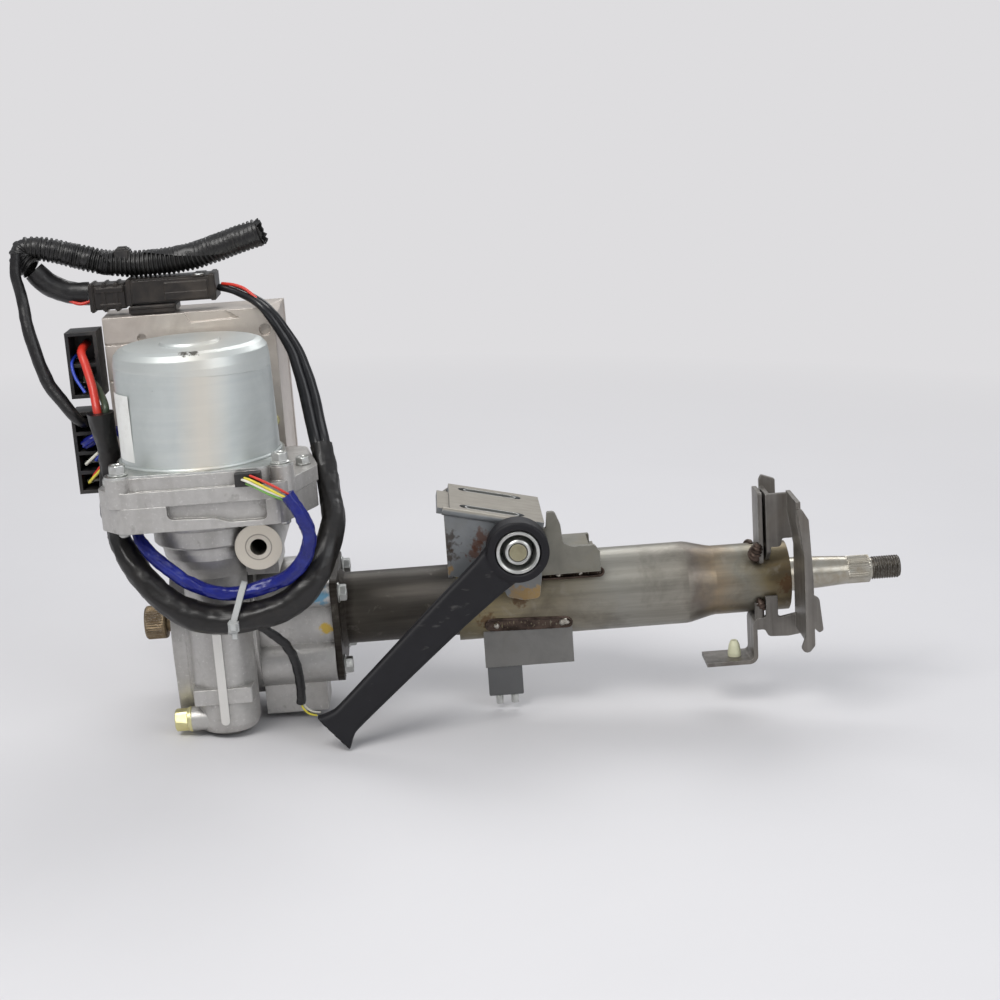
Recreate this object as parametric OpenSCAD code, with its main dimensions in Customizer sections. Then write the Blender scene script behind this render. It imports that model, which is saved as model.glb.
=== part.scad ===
// Power-assisted steering column: worm gearbox and motor at one end, telescoping jacket tubes,
// a clamped tilt bracket with its lever, and the steering wheel shaft at the other end.
// Inside every module X runs along the column axis, Y away from the viewer and Z square to the
// column, with zero where the motor axis crosses the column. placed() then slopes the whole
// column as it lies on the ground and puts the origin in the middle of the tilt pivot bore.

/* [Placement] */
// Slope of the column axis above level ground, in degrees
column_tilt = 3.8; // [2:0.1:6]
// Pivot bore: distance from the motor axis along the column
pivot_x = 29.5; // [28:0.5:32]
// Pivot bore: height above the column axis
pivot_z = 61; // [59:0.5:63]

/* [Worm gear] */
// Axial module of the worm thread and the wheel teeth
gear_module = 2; // [1.9:0.05:2.1]
// Teeth on the worm wheel
wheel_teeth = 36; // [34:2:36]
// Thread starts on the worm
worm_starts = 2; // [1:1:2]
// Pitch radius of the worm
worm_pitch_r = 9; // [8.8:0.1:9.4]
// Play between the worm thread and the wheel teeth
backlash = 0.3; // [0.25:0.05:0.5]
// Width of the worm wheel
wheel_w = 16; // [12:1:18]
// Length of the worm thread
worm_len = 36; // [28:1:38]

/* [Gear housing] */
// Wall around the worm wheel
case_wall = 6; // [5:0.5:8]
// Width of the wheel case along the column
case_w = 40; // [40:1:44]
// Wall around the worm bearings
worm_wall = 4; // [3:0.5:5]
// Depth of the worm housing below the column axis
worm_drop = 52; // [50:0.5:54]
// Thickness of the cover on the wheel case
cover_t = 8; // [6:0.5:9]
// How far the cover flange stands out from the wheel case
cover_lip = 1; // [0.8:0.1:1.5]
// Outer radius of the tilt pivot boss
pivot_boss_r = 13; // [11.5:0.5:14]
// Radius of the bore in the tilt pivot bush
pivot_bore_r = 4.6; // [4:0.1:5]
// Length of the tilt pivot boss across the column
pivot_len = 84; // [80:1:88]
// Face of the pivot boss on the viewer's side
pivot_face_y = -74; // [-78:1:-74]
// Underside of the motor flange above the column axis
flange_z = 78; // [77:0.5:80]
// Thickness of the motor flange on the gear housing
flange_t = 14; // [12:0.5:16]

/* [Motor] */
// Radius of the motor can at its mouth
can_r = 44; // [43:0.5:45]
// Radius of the motor can at its closed end
can_top_r = 42.5; // [41:0.5:43]
// Length of the motor can
can_len = 75; // [72:1:80]
// Wall of the motor can
can_wall = 2; // [1.5:0.1:2.5]
// Thickness of the motor adapter
adapter_t = 16; // [15:0.5:18]
// Height of the lower step of the motor adapter
adapter_step = 8.5; // [7:0.5:10]
// Depth that the can sits in the adapter
can_seat = 11; // [8:0.5:12]
// Radius of the motor shaft
rotor_shaft_r = 5; // [4:0.5:6]
// Radius of the rotor core
rotor_r = 24; // [20:0.5:26]
// Length of the rotor core
rotor_len = 38; // [30:1:40]
// Gap between rotor core and magnets
rotor_gap = 1; // [0.8:0.1:1.5]

/* [Controller] */
// Width of the controller case at its base
ecu_w = 102; // [98:1:106]
// Height of the controller case
ecu_h = 92; // [88:1:96]
// Depth of the controller case with its base plate
ecu_d = 36; // [32:1:40]
// Thickness of the base plate of the controller case
ecu_base_t = 5; // [4:0.5:7]
// Wall of the controller case
ecu_wall = 3; // [2:0.5:4]

/* [Sensor housing] */
// Length of the torque sensor housing
sensor_len = 43; // [42:1:46]
// Radius of the torque sensor drum
sensor_r = 33; // [32:0.5:34]
// Thickness of the flange on the lower tube
tube_flange_t = 4; // [3:0.5:5]

/* [Shafts] */
// Radius of the serrated output stub
stub_r = 10; // [9.5:0.1:10.4]
// Length of the serrated output stub
stub_len = 12.5; // [11:0.5:15]
// Radius of the groove behind the output stub
stub_neck_r = 6; // [5.5:0.1:7]
// Length of the groove behind the output stub
stub_neck_len = 5; // [4:0.5:6]
// Radius of the lower shaft that slides inside the upper shaft
lower_shaft_r = 8.2; // [7.6:0.1:8.6]
// Width across the two flats of the lower shaft
lower_shaft_flats = 14; // [13:0.1:15]
// Outer radius of the upper shaft tube
upper_tube_r = 12; // [11.5:0.1:13]
// Radius of the upper shaft in its bearing
upper_shaft_r = 10.5; // [10:0.1:11]
// Radius where the taper for the steering wheel starts
taper_r = 9.5; // [9:0.1:9.9]
// Radius of the wheel serration
serration_r = 8.35; // [8:0.05:8.6]
// Radius of the wheel nut thread
thread_r = 7; // [6.5:0.1:7.2]
// Length of the taper
taper_len = 17; // [14:0.5:20]
// Length of the wheel serration
serration_len = 14; // [12:0.5:18]
// Length of the wheel nut thread
thread_len = 16.5; // [14:0.5:18]
// Radial play of shafts, pins and sliding tubes
running_gap = 0.05; // [0.03:0.01:0.08]

/* [Jacket tubes] */
// Radius of the upper jacket tube
outer_tube_r = 24.4; // [24:0.1:24.6]
// Wall of the upper jacket tube
outer_tube_wall = 2.4; // [2:0.1:2.6]
// Radius of the neck that holds the upper bearing
neck_r = 20.6; // [20:0.1:21]
// Start of the upper jacket tube
tube_start = 135.6; // [134:0.5:137]
// Length of the wide part of the upper jacket tube
tube_wide_len = 136; // [130:1:138]
// Length of the tapered part of the upper jacket tube
tube_taper_len = 17; // [14:1:20]
// Length of the neck
neck_len = 44; // [42:1:48]
// Radius of the lower jacket tube
lower_tube_r = 21.2; // [21:0.1:21.3]
// Wall of the lower jacket tube
lower_tube_wall = 2.5; // [2:0.1:3]
// How far the lower jacket tube reaches into the upper one
tube_overlap = 54; // [50:1:60]
// Travel of the upper jacket when the column collapses
collapse_travel = 40; // [30:1:40]

/* [Tilt clamp] */
// Clamp bolt: distance from the motor axis along the column
clamp_x = 172; // [170:0.5:174]
// Clamp bolt: height above the column axis
clamp_z = 39.5; // [39:0.5:41]
// Radius of the clamp bolt
clamp_bolt_r = 5; // [4.8:0.1:5.2]
// Outer face of the bracket welded to the jacket, from the column axis
clamp_half_w = 28; // [28:0.2:29]
// Thickness of the clamp plates
clamp_plate_t = 3; // [2.5:0.1:3.2]
// Tilt of the column down from the pose drawn, in degrees
tilt_range = 6; // [4:0.5:7]
// Radius of the lever hub
lever_hub_r = 18; // [17:0.5:19]
// Thickness of the lever hub
lever_hub_t = 16; // [14:0.5:17]
// Width of the lever arm
lever_w = 22; // [20:0.5:24]
// Thickness of the lever arm
lever_t = 8; // [7:0.5:9]
// Slope of the mounting plate against the column axis, in degrees
mount_slope = 13.3; // [12.5:0.1:13.8]
// Length of the mounting plate
mount_len = 55; // [52:1:55]
// Width of the mounting plate across the column
mount_w = 62; // [60:1:66]
// Thickness of the mounting plate
mount_t = 3; // [2.5:0.1:3.5]
// Length of each slot in the mounting plate
slot_len = 38; // [34:1:40]
// Width of each slot in the mounting plate
slot_w = 8; // [6:0.5:9]
// Distance between the two slots
slot_spacing = 42; // [40:1:44]

/* [Brackets] */
// Thickness of the bracket sheet
sheet_t = 2.5; // [2:0.1:3]
// Start of the lower bracket along the column
lower_bracket_x = 149.5; // [148:0.5:151]
// Length of the lower bracket along the column
lower_bracket_len = 52.5; // [50:0.5:55]
// Start of the end bracket along the column
end_bracket_x = 313.5; // [312:0.5:314]

/* [Fasteners] */
// Radius of the small screws
screw_r = 3; // [2.5:0.1:3.2]
// Corner radius of the small hexagon heads
screw_head_r = 4.9; // [4.6:0.1:5.2]
// Height of the small hexagon heads
screw_head_h = 4; // [3.5:0.1:4.5]

/* [Hidden] */
$fn = 64;
hull_fn = 32;
eps = 0.01;

// Worm gear: radii, lead and phase
wheel_pitch_r = gear_module * wheel_teeth / 2;
wheel_tip_r = wheel_pitch_r + gear_module * 0.95;
wheel_root_r = wheel_pitch_r - gear_module * 1.2;
worm_tip_r = worm_pitch_r + gear_module * 0.95;
worm_root_r = worm_pitch_r - gear_module * 1.2;
worm_lead = PI * gear_module * worm_starts;
lead_angle = atan(worm_lead / (2 * PI * worm_pitch_r));
pressure_angle = 20;
rim_inner_r = wheel_root_r - 7;
hub_r = rim_inner_r;
worm_y = -(wheel_pitch_r + worm_pitch_r);

// Bearings as [outer radius, inner radius, width]
output_bearing = [17.5, 8.5, 10];
wheel_bearing = [18.5, 10, 9];
input_bearing = [15, 11, 8];
worm_low_bearing = [13, 5, 8];
worm_top_bearing = [14, 6, 8];
motor_low_bearing = [13, 5, 8];
motor_top_bearing = [11, 5, 7];

// Gear housing
case_r = wheel_tip_r + 2 + case_wall;
cavity_r = wheel_tip_r + 2;
case_x0 = -case_w / 2;
case_x1 = case_w / 2;
cavity_x1 = case_x1 - wheel_bearing[2];
worm_house_r = worm_top_bearing[0] + worm_wall;
worm_bore_r = worm_tip_r + 1.2;
worm_seat_z = -(worm_drop - 10);
worm_top_seat_z = worm_len / 2 + 8;
coupling_z = worm_top_seat_z + worm_top_bearing[2] + 4;
coupling_h = 20;
drive_bore_r = 15;
flange_top_z = flange_z + flange_t;
pivot_bush_r = 6.8;
cover_x0 = case_x0 - cover_t;
cover_boss_x = cover_x0 + 4 + output_bearing[2];

// Motor
adapter_top_z = flange_top_z + adapter_t;
can_z0 = adapter_top_z - can_seat;
can_top_z = can_z0 + can_len;
rotor_z0 = can_z0 + 14;
rear_face_y = 3;
ecu_x0 = -56;
ecu_z0 = 90;

// Corners of the motor flange outline, each [x, y, radius]
flange_corners = [
    [-44, -75, 9], [-36, -84, 9], [40, -84, 9], [54, -56, 9], [46, -9, 9], [-33, -7, 9]
];
adapter_corners = [
    [-44, -75, 9], [-36, -84, 9], [42, -84, 9], [55, -54, 9], [47, -9, 9], [-33, -7, 9]
];
// Bolts through the motor flange: [x, y, tower radius], with no tower where the radius is zero
motor_bolts = [[-40, -85, 7.5], [46.5, -82, 7], [-34, -5, 6], [56, -51, 0], [-47.3, -70, 0]];

// Sensor housing
sensor_x0 = case_x1;
sensor_x1 = sensor_x0 + sensor_len;
flange_x1 = sensor_x1 + tube_flange_t;
sensor_cavity_r = 25;
input_seat_x = sensor_x1 - 3 - input_bearing[2];
flange_holes = [[-28, 18], [28, 18], [-25, -27], [25, -27]];

// Shafts
stub_x0 = cover_x0 - stub_neck_len - stub_len - 4;
input_x0 = case_x1 + 16;
lower_shaft_x1 = tube_start + 64;
socket_x0 = 122;
socket_x1 = lower_shaft_x1 + collapse_travel + 5;
neck_x0 = tube_start + tube_wide_len + tube_taper_len;
neck_x1 = neck_x0 + neck_len;
upper_bearing = [neck_r - outer_tube_wall, upper_shaft_r, 12];
upper_bearing_x = neck_x1 - 18;
shaft_step_x = neck_x1 + 1;
taper_x0 = shaft_step_x + 18;
serration_x0 = taper_x0 + taper_len;
thread_x0 = serration_x0 + serration_len + 2;
thread_x1 = thread_x0 + thread_len;

// Jacket tubes
outer_bore_r = outer_tube_r - outer_tube_wall;
lower_tube_x1 = tube_start + tube_overlap;
liner_r = outer_bore_r - running_gap;

// Tilt clamp
clamp_arm = sqrt(pow(clamp_x - pivot_x, 2) + pow(pivot_z - clamp_z, 2));
clamp_angle = atan2(pivot_z - clamp_z, clamp_x - pivot_x);
side_gap = 0.1;
side_y = clamp_half_w + side_gap;
slot_r = clamp_bolt_r + 0.3;
cam_t = 2.4;
cam_y = -(side_y + clamp_plate_t + side_gap + cam_t);
hub_y = cam_y - lever_hub_t;
mount_x0 = 134.5;
mount_z0 = 61;

// Slopes and places the whole column
module placed() {
    rotate([0, -column_tilt, 0])
        translate([-pivot_x, 0, -pivot_z])
            children();
}

// Turns a shape drawn upwards so that it lies along the column
module along_x(x = 0) {
    translate([x, 0, 0])
        rotate([0, 90, 0])
            children();
}

// Turns a shape drawn upwards so that it points away from the viewer
module along_y(y = 0) {
    translate([0, y, 0])
        rotate([-90, 0, 0])
            children();
}

// Sheet drawn in the side view, from y to y + thickness
module side_sheet(y, thickness) {
    translate([0, y + thickness, 0])
        rotate([90, 0, 0])
            linear_extrude(thickness)
                children();
}

// Sheet drawn in the end view, from x to x + thickness
module cross_sheet(x, thickness) {
    translate([x, 0, 0])
        rotate([90, 0, 90])
            linear_extrude(thickness)
                children();
}

// Ring of a bearing, liner or bush
module ring(outer, inner, height) {
    difference() {
        cylinder(r = outer, h = height);
        translate([0, 0, -1])
            cylinder(r = inner, h = height + 2);
    }
}

// Ball bearing drawn as its two rings with a shielded groove on each face
module bearing(size) {
    outer = size[0];
    inner = size[1] + running_gap;
    mid = (outer + inner) / 2;
    shield = (outer - inner) / 4;
    rotate_extrude()
        polygon([
            [inner, 0], [mid - shield, 0], [mid - shield, 0.8], [mid + shield, 0.8],
            [mid + shield, 0], [outer, 0], [outer, size[2]], [mid + shield, size[2]],
            [mid + shield, size[2] - 0.8], [mid - shield, size[2] - 0.8],
            [mid - shield, size[2]], [inner, size[2]]
        ]);
}

// Hexagon head screw pointing down from the height where its head seats
module hex_screw(head_r, head_h, shank_r, shank_len) {
    cylinder(r = head_r, h = head_h, $fn = 6);
    translate([0, 0, -shank_len])
        cylinder(r = shank_r, h = shank_len);
}

// Outline with one rounded corner for each [x, y, radius]
module rounded_outline(corners) {
    hull()
        for (c = corners)
            translate([c[0], c[1]])
                circle(r = c[2], $fn = hull_fn);
}

function unit(v) = v / norm(v);

// Points of an outline with rounded corners, each corner [x, y, radius]
function corner_arc(last, corner, next, r, steps = 5) =
    let (u = unit(last - corner), v = unit(next - corner),
         half = acos(u * v) / 2,
         centre = corner + unit(u + v) * r / sin(half),
         from = corner + u * r / tan(half) - centre,
         to = corner + v * r / tan(half) - centre,
         start = atan2(from[1], from[0]),
         turn = (atan2(to[1], to[0]) - start + 540) % 360 - 180)
    [for (i = [0 : steps]) centre + r * [cos(start + turn * i / steps), sin(start + turn * i / steps)]];
function at_corner(corners, i) = let (c = corners[(i + len(corners)) % len(corners)]) [c[0], c[1]];
function rounded(corners) = [for (i = [0 : len(corners) - 1])
    each corners[i][2] > 0
        ? corner_arc(at_corner(corners, i - 1), at_corner(corners, i), at_corner(corners, i + 1), corners[i][2])
        : [at_corner(corners, i)]];

// Tube of a cord, swept along its route: rings of points square to the route
function route_way(route, i) = unit(route[min(i + 1, len(route) - 1)] - route[max(i - 1, 0)]);
function route_across(ways, i, side) =
    i == 0
        ? unit(cross(ways[0], side))
        : let (last = route_across(ways, i - 1, side)) unit(last - (last * ways[i]) * ways[i]);
function cord_ring(centre, way, across, radius, sides) =
    let (over = cross(across, way))
    [for (k = [0 : sides - 1])
        centre + radius * (cos(360 * k / sides) * across + sin(360 * k / sides) * over)];

module cord_tube(route, side = [0, 1, 0], sides = 10) {
    rings = len(route);
    centres = [for (p = route) [p[0], p[1], p[2]]];
    ways = [for (i = [0 : rings - 1]) route_way(centres, i)];
    points = [for (i = [0 : rings - 1])
        each cord_ring(centres[i], ways[i], route_across(ways, i, side), route[i][3], sides)];
    walls = [for (i = [0 : rings - 2], k = [0 : sides - 1])
        [i * sides + k, i * sides + (k + 1) % sides,
         (i + 1) * sides + (k + 1) % sides, (i + 1) * sides + k]];
    start = [for (k = [sides - 1 : -1 : 0]) k];
    finish = [for (k = [0 : sides - 1]) (rings - 1) * sides + k];
    polyhedron(points, concat([start], walls, [finish]));
}

// Involute flank: half the angle of a tooth at a radius
function involute(a) = tan(a) * 180 / PI - a;
function tooth_half_angle(r) =
    let (base_r = wheel_pitch_r * cos(pressure_angle),
         a = r > base_r ? acos(base_r / r) : 0)
    90 / wheel_teeth - backlash * 90 / PI / wheel_pitch_r + involute(pressure_angle) - involute(a);

// Worm thread section: half the angle of one thread at a radius
function thread_half_angle(r) =
    (PI * gear_module / 4 - backlash / 4 - (r - worm_pitch_r) * tan(pressure_angle)) * 360 / worm_lead;

// Outline shared by the wheel case rim and its cover, in the end view
module cover_outline() {
    hull() {
        circle(r = case_r + cover_lip);
        for (z = [-36, 10])
            translate([-34, z])
                circle(r = 9, $fn = hull_fn);
    }
}

module gear_housing() {
    neck_r0 = worm_house_r;
    color("silver")
        placed()
            difference() {
                union() {
                    along_x(case_x0)
                        cylinder(r = case_r, h = case_w);
                    cross_sheet(case_x0, 4)
                        cover_outline();
                    translate([0, worm_y, 0])
                        rotate_extrude()
                            polygon([
                                [0, -worm_drop], [neck_r0 - 5, -worm_drop],
                                [neck_r0 - 1.5, -worm_drop + 2], [neck_r0, -worm_drop + 6],
                                [neck_r0, 38], [19, 42], [23.5, 49], [26, 54], [26.7, 58], [26.7, 61],
                                [30, 61.8], [31, 63], [31, flange_z - 6], [34, flange_z - 5],
                                [35, flange_z - 3.5], [35, flange_z + 1], [0, flange_z + 1]
                            ]);
                    translate([0, 0, flange_z])
                        linear_extrude(flange_t)
                            rounded_outline(flange_corners);
                    translate([pivot_x, pivot_face_y, pivot_z])
                        along_y()
                            cylinder(r = pivot_boss_r, h = pivot_len);
                    pivot_web();
                    worm_ribs();
                    jack_boss();
                }
                housing_bores();
            }
}

// Web that ties the pivot boss to the neck, the wheel case and the flange
module pivot_web() {
    hull() {
        translate([pivot_x - 9, -68, 50])
            cube([15, 30, flange_z - 50]);
        translate([pivot_x - 9, -58, 41])
            cube([8, 18, 8]);
    }
    translate([8, -40, 36])
        cube([28, 44, flange_z - 36]);
}

// Upright rib and cross band on the worm housing
module worm_ribs() {
    rib_y = worm_y - worm_house_r;
    translate([-2.5, rib_y - 1.5, -worm_drop + 10])
        cube([5, 6, 52]);
    translate([0, rib_y - 1.5, -worm_drop + 10])
        along_y()
            cylinder(r = 2.5, h = 6);
    translate([0, 0, -32])
        linear_extrude(9)
            polygon(rounded([
                [-16.5, rib_y - 0.7, 1.5], [16.5, rib_y - 0.7, 1.5], [17.4, worm_y - 4, 0], [-17.4, worm_y - 4, 0]
            ]));
}

// Pocket cast in the front of the motor flange, above the pivot boss
module flange_pocket() {
    side_sheet(-95, 5.5)
        polygon(rounded([
            [-15, flange_top_z + 1, 0], [-15, flange_z + 6.5, 3], [10, flange_z + 5.5, 4], [18, flange_z + 3, 4],
            [38, flange_z + 3, 3], [38, flange_top_z + 1, 0]
        ]));
}

// Boss for the jacking bolt at the foot of the worm housing
module jack_boss() {
    translate([case_x0, worm_y - 8, -43])
        along_x()
            cylinder(r = 7, h = 14);
}

module housing_bores() {
    flange_pocket();
    along_x(case_x0 - 1)
        cylinder(r = cavity_r, h = cavity_x1 - case_x0 + 1);
    along_x(case_x0)
        cylinder(r = wheel_bearing[0], h = case_w + 1);
    translate([0, worm_y, worm_seat_z])
        cylinder(r = worm_low_bearing[0], h = worm_low_bearing[2]);
    translate([0, worm_y, worm_seat_z])
        cylinder(r = worm_bore_r, h = worm_top_seat_z - worm_seat_z + 1);
    translate([0, worm_y, worm_top_seat_z])
        cylinder(r = worm_top_bearing[0], h = coupling_z - worm_top_seat_z + 1);
    translate([0, worm_y, coupling_z - 4])
        cylinder(r = drive_bore_r, h = flange_top_z - coupling_z + 5);
    translate([0, worm_y, flange_z + 6])
        cylinder(r = 30, h = flange_t);
    translate([pivot_x, pivot_face_y - 1, pivot_z])
        along_y()
            cylinder(r = pivot_bush_r, h = pivot_len + 2);
    for (b = motor_bolts)
        translate([b[0], b[1], flange_z - 1])
            cylinder(r = screw_r, h = flange_t + 2);
    translate([case_x0 - 1, worm_y - 8, -43])
        along_x()
            cylinder(r = screw_r + 1, h = 7);
}

module housing_cover() {
    color("silver")
        placed()
            difference() {
                union() {
                    cross_sheet(cover_x0, cover_t)
                        cover_outline();
                    along_x(case_x0 - eps)
                        cylinder(r = output_bearing[0] + 4, h = cover_boss_x - case_x0);
                }
                along_x(cover_x0 - 1)
                    cylinder(r = stub_r + 2, h = 20);
                along_x(cover_x0 + 4)
                    cylinder(r = output_bearing[0], h = 30);
            }
}

module pivot_bush() {
    color("gainsboro")
        placed()
            translate([pivot_x, pivot_face_y, pivot_z])
                along_y()
                    ring(pivot_bush_r, pivot_bore_r, pivot_len);
}

module wheel_bearings() {
    color("lightgray")
        placed() {
            along_x(cover_x0 + 4)
                bearing(output_bearing);
            along_x(cavity_x1)
                bearing(wheel_bearing);
        }
}

module worm_bearings() {
    color("lightgray")
        placed()
            translate([0, worm_y, 0]) {
                translate([0, 0, worm_seat_z])
                    bearing(worm_low_bearing);
                translate([0, 0, worm_top_seat_z])
                    bearing(worm_top_bearing);
            }
}

// Cross section of the worm: one lobe for each thread
module worm_section() {
    radii = [for (i = [0 : 3]) worm_root_r + (worm_tip_r - worm_root_r) * i / 3];
    polygon([for (s = [0 : worm_starts - 1])
        each concat(
            [for (r = radii) let (a = 360 * s / worm_starts - thread_half_angle(r)) r * [cos(a), sin(a)]],
            [worm_tip_r * [cos(360 * s / worm_starts), sin(360 * s / worm_starts)]],
            [for (i = [3 : -1 : 0])
                let (r = radii[i], a = 360 * s / worm_starts + thread_half_angle(r)) r * [cos(a), sin(a)]],
            [let (a = 360 * (s + 0.5) / worm_starts) worm_root_r * [cos(a), sin(a)]]
        )]);
}

module worm_shaft() {
    thread_turn = 360 * worm_len / worm_lead;
    color("lightsteelblue")
        placed()
            translate([0, worm_y, 0]) {
                translate([0, 0, -worm_len / 2])
                    rotate([0, 0, 90 - thread_turn / 2])
                        linear_extrude(worm_len, twist = -thread_turn, slices = round(thread_turn / 24), segments = 20)
                            worm_section();
                translate([0, 0, worm_seat_z])
                    cylinder(r = worm_low_bearing[1], h = worm_len);
                translate([0, 0, worm_seat_z + worm_low_bearing[2]])
                    cylinder(r = worm_root_r - 0.3, h = worm_top_seat_z - worm_seat_z - worm_low_bearing[2]);
                translate([0, 0, 0])
                    cylinder(r = worm_top_bearing[1], h = worm_top_seat_z + worm_top_bearing[2] + 1);
                translate([0, 0, worm_top_seat_z])
                    cylinder(r = rotor_shaft_r, h = coupling_z + 9 - worm_top_seat_z);
            }
}

// Outline of the toothed rim
module rim_outline() {
    radii = [for (i = [0 : 4]) wheel_root_r + (wheel_tip_r - wheel_root_r) * i / 4];
    polygon([for (t = [0 : wheel_teeth - 1])
        let (mid = 360 * (t + 0.5) / wheel_teeth)
        each concat(
            [for (r = radii) let (a = mid - tooth_half_angle(r)) r * [cos(a), sin(a)]],
            [for (i = [4 : -1 : 0])
                let (r = radii[i], a = mid + tooth_half_angle(r)) r * [cos(a), sin(a)]]
        )]);
}

module wheel_rim() {
    rim_turn = wheel_w * tan(lead_angle) / wheel_pitch_r * 180 / PI;
    color("ivory")
        placed()
            along_x(-wheel_w / 2)
                difference() {
                    rotate([0, 0, -rim_turn / 2])
                        linear_extrude(wheel_w, twist = -rim_turn, slices = 4)
                            rim_outline();
                    translate([0, 0, -1])
                        cylinder(r = rim_inner_r, h = wheel_w + 2);
                }
}

module wheel_hub() {
    color("slategray")
        placed()
            difference() {
                along_x(-wheel_w / 2)
                    cylinder(r = hub_r, h = wheel_w);
                along_x(-wheel_w / 2 - 1)
                    ring(hub_r - 4, wheel_bearing[1] + 5, 5);
                along_x(wheel_w / 2 - 4)
                    ring(hub_r - 4, wheel_bearing[1] + 5, 5);
                along_x(-wheel_w / 2 - 1)
                    cylinder(r = wheel_bearing[1], h = wheel_w + 2);
            }
}

// Output shaft: serrated stub, groove, bearing journal and the wheel seat, bored for the torsion bar
module output_shaft() {
    bar_bore_r = 4.2;
    stub_x1 = stub_x0 + stub_len;
    neck_x1 = stub_x1 + stub_neck_len;
    color("peru")
        placed()
            along_x()
                rotate_extrude()
                    polygon([
                        [0, stub_x0], [stub_r - 1, stub_x0], [stub_r, stub_x0 + 1], [stub_r, stub_x1],
                        [stub_neck_r, stub_x1 + 0.5], [stub_neck_r, neck_x1],
                        [output_bearing[1], neck_x1 + 1], [output_bearing[1], cover_boss_x],
                        [wheel_bearing[1], cover_boss_x], [wheel_bearing[1], input_x0 - 2],
                        [bar_bore_r, input_x0 - 2], [bar_bore_r, cover_x0 + 6], [0, cover_x0 + 6]
                    ]);
}

module torsion_bar() {
    color("darkgray")
        placed()
            along_x()
                rotate_extrude()
                    polygon([
                        [0, cover_x0 + 6], [4.15, cover_x0 + 6], [4.15, cover_x0 + 16],
                        [2.8, cover_x0 + 20], [2.8, input_x0 + 2], [4.15, input_x0 + 6],
                        [4.15, input_x0 + 16], [0, input_x0 + 16]
                    ]);
}

// Flattened round bar or hole: a circle cut by two flats
module double_flat(r, flats, height) {
    intersection() {
        cylinder(r = r, h = height);
        translate([-flats / 2, -r - 1, 0])
            cube([flats, 2 * r + 2, height]);
    }
}

module lower_shaft() {
    color("darkgray")
        placed()
            difference() {
                union() {
                    along_x(input_x0)
                        cylinder(r = input_bearing[1], h = sensor_x1 - input_x0 + 2);
                    along_x(sensor_x1)
                        double_flat(lower_shaft_r, lower_shaft_flats, lower_shaft_x1 - sensor_x1);
                }
                along_x(input_x0 - 1)
                    cylinder(r = 4.2, h = 17);
            }
}

module motor_coupling() {
    color("dimgray")
        placed()
            translate([0, worm_y, coupling_z])
                difference() {
                    cylinder(r = 12, h = coupling_h);
                    translate([0, 0, -1])
                        cylinder(r = rotor_shaft_r, h = coupling_h + 2);
                    for (turn = [0 : 60 : 120])
                        rotate([0, 0, turn])
                            translate([-13, -1, coupling_h / 2 - 2])
                                cube([3, 2, 4]);
                }
}

// Rotor with its laminated core, slotted along its length, and the commutator below it
module motor_rotor() {
    slots = 12;
    shaft_z0 = coupling_z + 10;
    color("chocolate")
        placed()
            translate([0, worm_y, 0]) {
                translate([0, 0, shaft_z0])
                    cylinder(r = rotor_shaft_r, h = can_top_z - can_wall - 1 - shaft_z0);
                translate([0, 0, rotor_z0])
                    difference() {
                        cylinder(r = rotor_r, h = rotor_len);
                        for (s = [0 : slots - 1])
                            rotate([0, 0, 360 * s / slots])
                                translate([rotor_r - 8, -1.2, -1])
                                    cube([10, 2.4, rotor_len + 2]);
                    }
                translate([0, 0, rotor_z0 - 9])
                    cylinder(r = 12, h = 9);
            }
}

// Four curved magnets against the inside of the can
module motor_stator() {
    magnets = 4;
    inner = rotor_r + rotor_gap;
    outer = can_top_r - can_wall - 0.4;
    color("dimgray")
        placed()
            translate([0, worm_y, rotor_z0])
                for (m = [0 : magnets - 1])
                    rotate([0, 0, 360 * m / magnets - 38])
                        rotate_extrude(angle = 76)
                            translate([inner, 0])
                                square([outer - inner, rotor_len]);
}

module motor_can() {
    color("lightsteelblue")
        placed()
            translate([0, worm_y, 0])
                rotate_extrude()
                    polygon([
                        [can_r - can_wall, can_z0], [can_r, can_z0], [can_top_r + 0.2, can_top_z - 9],
                        [can_top_r - 0.6, can_top_z - 4], [can_top_r - 3, can_top_z - 1.2],
                        [can_top_r - 6, can_top_z], [17, can_top_z], [16, can_top_z + 1.5],
                        [0, can_top_z + 1.5], [0, can_top_z - can_wall], [can_top_r - 7, can_top_z - can_wall],
                        [can_top_r - can_wall - 1, can_top_z - 5], [can_top_r - can_wall, can_top_z - 9]
                    ]);
}

module motor_end_plate() {
    color("gainsboro")
        placed()
            difference() {
                translate([0, 0, adapter_top_z])
                    linear_extrude(1.2)
                        adapter_top_outline();
                translate([0, worm_y, adapter_top_z - 1])
                    cylinder(r = can_r + 0.3, h = 4);
                for (b = motor_bolts)
                    translate([b[0], b[1], adapter_top_z - 1])
                        cylinder(r = screw_r, h = 4);
            }
}

// Top of the motor adapter: the ring round the can, its flat front and the bolt towers
module adapter_top_outline() {
    hull() {
        translate([0, worm_y])
            circle(r = can_r + 2.5);
        for (x = [-30, 33])
            translate([x, -82])
                circle(r = 9, $fn = hull_fn);
    }
    for (b = motor_bolts)
        if (b[2] > 0)
            translate([b[0], b[1]])
                circle(r = b[2], $fn = hull_fn);
}

// Height where the head of a motor bolt seats
function bolt_seat(b) = b[2] > 0 ? adapter_top_z + 1.2 : flange_top_z + adapter_step;

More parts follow.
